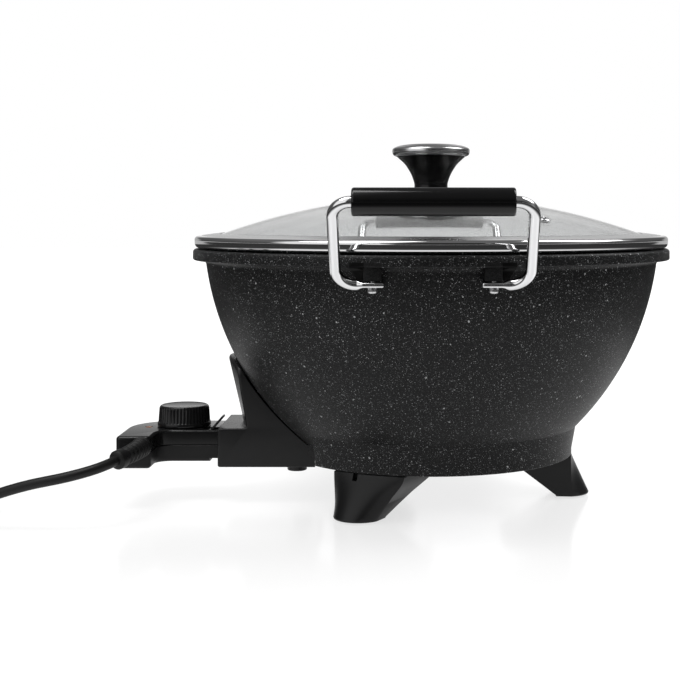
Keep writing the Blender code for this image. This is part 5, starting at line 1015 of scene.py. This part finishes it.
# The knob is a flared phenolic body on a rubber seal, under a pressed cap of
# brushed steel, and one screw with a washer holds it from inside the lid.
KNOB_LOW, KNOB_HIGH, KNOB_WAIST_R = 210.5, 236.4, 12
CAP_R, CAP_LOW, CAP_MIDDLE, CAP_TOP = 27.2, 236.7, 241.0, 245.4
KNOB_TABLE = ((1.15, 0), (1.02, 0.076), (0.975, 0.26), (1.10, 0.465), (1.275, 0.627),
              (1.525, 0.80), (1.85, 0.945), (1.99, 1))
profile = smooth_through([(KNOB_WAIST_R * r, KNOB_LOW + (KNOB_HIGH - KNOB_LOW) * h, 0)
                          for r, h in KNOB_TABLE], 6)
body = [(0, KNOB_LOW), (profile[0].x - 0.6, KNOB_LOW)] + [(p.x, p.y) for p in profile[1:]]
body += [(16, KNOB_HIGH), (16, 239.9), (0, 239.9)]
knob_black = moulded_black("knob_black", 0.05, (0.003, 0.003, 0.0032), (0.006, 0.006, 0.0062),
                           (0.1, 0.18, 0.27), satin(0.012, 1.2), 0.35)


def turned_marks(place):
    """Fine rings about the knob's axis."""
    flat = place.vector("ADD", (-AXIS_X / 1000, 0, 0)).vector("MULTIPLY", (1, 1, 0))
    radius = flat.vector("LENGTH", output=1)
    return place.node("ShaderNodeCombineXYZ", None, {0: radius}).noise(2.4, 3.0)


cap_steel = finish(
    "cap_steel", Metallic=1.0, Base_Color=(0.68, 0.68, 0.685),
    Roughness=lambda p: turned_marks(p).mixed(0.16, 0.30),
    Normal=lambda p: turned_marks(p).bump(0.3, 0.015))
put("knob_flare", turned(body, 96), knob_black, "lid", "knob_body", sharp=35, slot="black_plastic")
cap = [(0, 240.2), (16.3, 240.2), (16.3, CAP_LOW), (23.8, CAP_LOW)]
cap += arc(CAP_R - 3.2, CAP_LOW + 3.2, 3.2, -88, 0, 14) + [(CAP_R, CAP_MIDDLE)]
cap += [(CAP_R * math.cos(t) ** 0.6, CAP_MIDDLE + (CAP_TOP - CAP_MIDDLE) * math.sin(t))
        for t in (math.pi / 2 * i / 28 for i in range(1, 28))] + [(0, CAP_TOP)]
put("knob_cap_steel", turned(cap, 96), cap_steel, "lid", "knob_cap", sharp=40,
    slot="brushed_steel")
dress(pad_rubber, "knob_seal")
dress(screw_steel, "knob_washer", "knob_bolt")

# The studio: a white, slightly glossy table before a white backdrop. What the
# metal and the glass mirror is a dark room with pale walls, a soft box on each
# side, and a table 0.8 m wide. Two more soft boxes overhead light the object.


def ray(place, kind):
    """1 for one kind of ray: Camera, Glossy or Transmission."""
    return place.node("ShaderNodeLightPath", output=f"Is {kind} Ray")


def seen(place):
    """1 for what the camera sees, straight or through glass."""
    return ray(place, "Camera").highest(ray(place, "Transmission"))


def table_distance(place):
    return place.vector("LENGTH", output=1)


def table_tone(place):
    """White, but what mirrors in the object is a table 0.8 m wide on a dark
    floor that ends at the pale wall."""
    mirrored = (table_distance(place) * 0.2).ramp((0.07, 0.5), (0.095, 0.1), (0.13, 0.01),
                                                  (0.7, 0.01), (0.78, 0.3))
    return ray(place, "Glossy").mixed((0.42, 0.42, 0.42), mirrored)


def table_glow(place):
    """The part of the table's white that no shadow darkens."""
    glow = seen(place).mixed((0.0, 0.0, 0.0), (0.68, 0.68, 0.68))
    return ray(place, "Glossy").mixed(glow, table_tone(place))


def table_gloss(place):
    """Slightly glossy, but dull where its far part is itself mirrored."""
    return ((table_distance(place) > 0.62) * ray(place, "Glossy")).mixed(0.16, 1.0)


stage_white = finish("stage_white", Base_Color=table_tone, Roughness=table_gloss,
                     Emission_Color=table_glow, Emission_Strength=1.0)
bpy.ops.mesh.primitive_plane_add(size=12, location=(0, 0, 0))
floor = bpy.context.object
floor.name = "studio_floor"
floor.data.materials.append(stage_white)

world = bpy.data.worlds.new("studio")
bpy.context.scene.world = world
world.use_nodes = True
toward = Wire(world.node_tree).node("ShaderNodeTexCoord", output="Generated")
side, back, up = (toward.axis(letter) for letter in "XYZ")
across, away = side * 0.5 + 0.5, back * 0.5 + 0.5
front = up.ramp((0.15, 0.0), (0.6, 1.0)).mixed(
    across.ramp((0.0, 0.09), (0.25, 0.08), (0.42, 0.015), (0.66, 0.015), (0.8, 0.04), (0.92, 0.12),
                (0.955, 0.25), (0.985, 0.25), (1.0, 0.07)), (0.15, 0.15, 0.15))
rear = up.ramp((0.08, 0.0), (0.16, 1.0)).mixed(
    away.ramp((0.56, 0.05), (0.9, 0.05), (0.94, 0.4), (0.985, 0.45), (0.995, 1.0)),
    across.ramp((0.3, 0.1), (0.4, 0.5), (0.445, 0.66), (0.47, 0.23), (0.52, 0.23), (0.535, 0.66),
                (0.6, 0.5), (0.7, 0.1)))
rear = up.ramp((0.4, 0.0), (0.6, 1.0)).mixed(rear, (0.15, 0.15, 0.15))
walls = away.ramp((0.44, 0.0), (0.52, 1.0)).mixed(front, rear)
left_box = ((side - up * up * 0.25) * 0.5 + 0.5).ramp((0.3, 1.0), (0.36, 0.0)) * (
    (back - up * 0.45) * 0.5 + 0.5).ramp((0.3, 1.0), (0.39, 0.0))
right_box = across.ramp((0.69, 0.0), (0.74, 1.0)) * up.ramp((0.35, 0.0), (0.52, 1.0)) * away.ramp(
    (0.4, 0.0), (0.45, 1.0), (0.65, 1.0), (0.78, 0.3), (0.85, 0.0))
walls = walls.highest(left_box.highest(right_box))
shade = ray(toward, "Glossy").mixed(up.ramp((0.0, 0.3), (1.0, 0.75)), walls)
shade = seen(toward).mixed(shade, (1.0, 1.0, 1.0))
backdrop = world.node_tree.nodes["Background"]
world.node_tree.links.new(shade.socket, backdrop.inputs["Color"])
backdrop.inputs["Strength"].default_value = 1.0


def panel(name, place, aim, wide, high, power):
    """A soft box that faces a point."""
    data = bpy.data.lights.new(name, "AREA")
    data.shape, data.size, data.size_y, data.energy = "RECTANGLE", wide, high, power
    lamp = bpy.data.objects.new(name, data)
    bpy.context.collection.objects.link(lamp)
    lamp.location = place
    lamp.rotation_euler = (Vector(aim) - Vector(place)).to_track_quat("-Z", "Y").to_euler()


panel("top_panel_left", (-0.45, -0.2, 1.25), (-0.1, 0, 0.1), 0.5, 0.8, 6)
panel("top_panel_right", (0.85, 0.2, 1.15), (0.1, 0, 0.1), 0.5, 0.8, 7)

# The camera stands level, nearly a metre in front of the wok and just above its
# rim. Its lens is shifted, so that upright edges stay upright in the picture.
camera_data = bpy.data.cameras.new("camera")
camera_data.lens, camera_data.sensor_width = 73.28, 36
camera = bpy.data.objects.new("camera", camera_data)
bpy.context.collection.objects.link(camera)
camera.location = (0.0140, -0.972, 0.1995)
camera.rotation_euler = (math.radians(90), 0, 0)
camera_data.shift_x = -0.1181
camera_data.shift_y = -0.1919
bpy.context.scene.camera = camera
bpy.context.scene.view_settings.view_transform = "Standard"
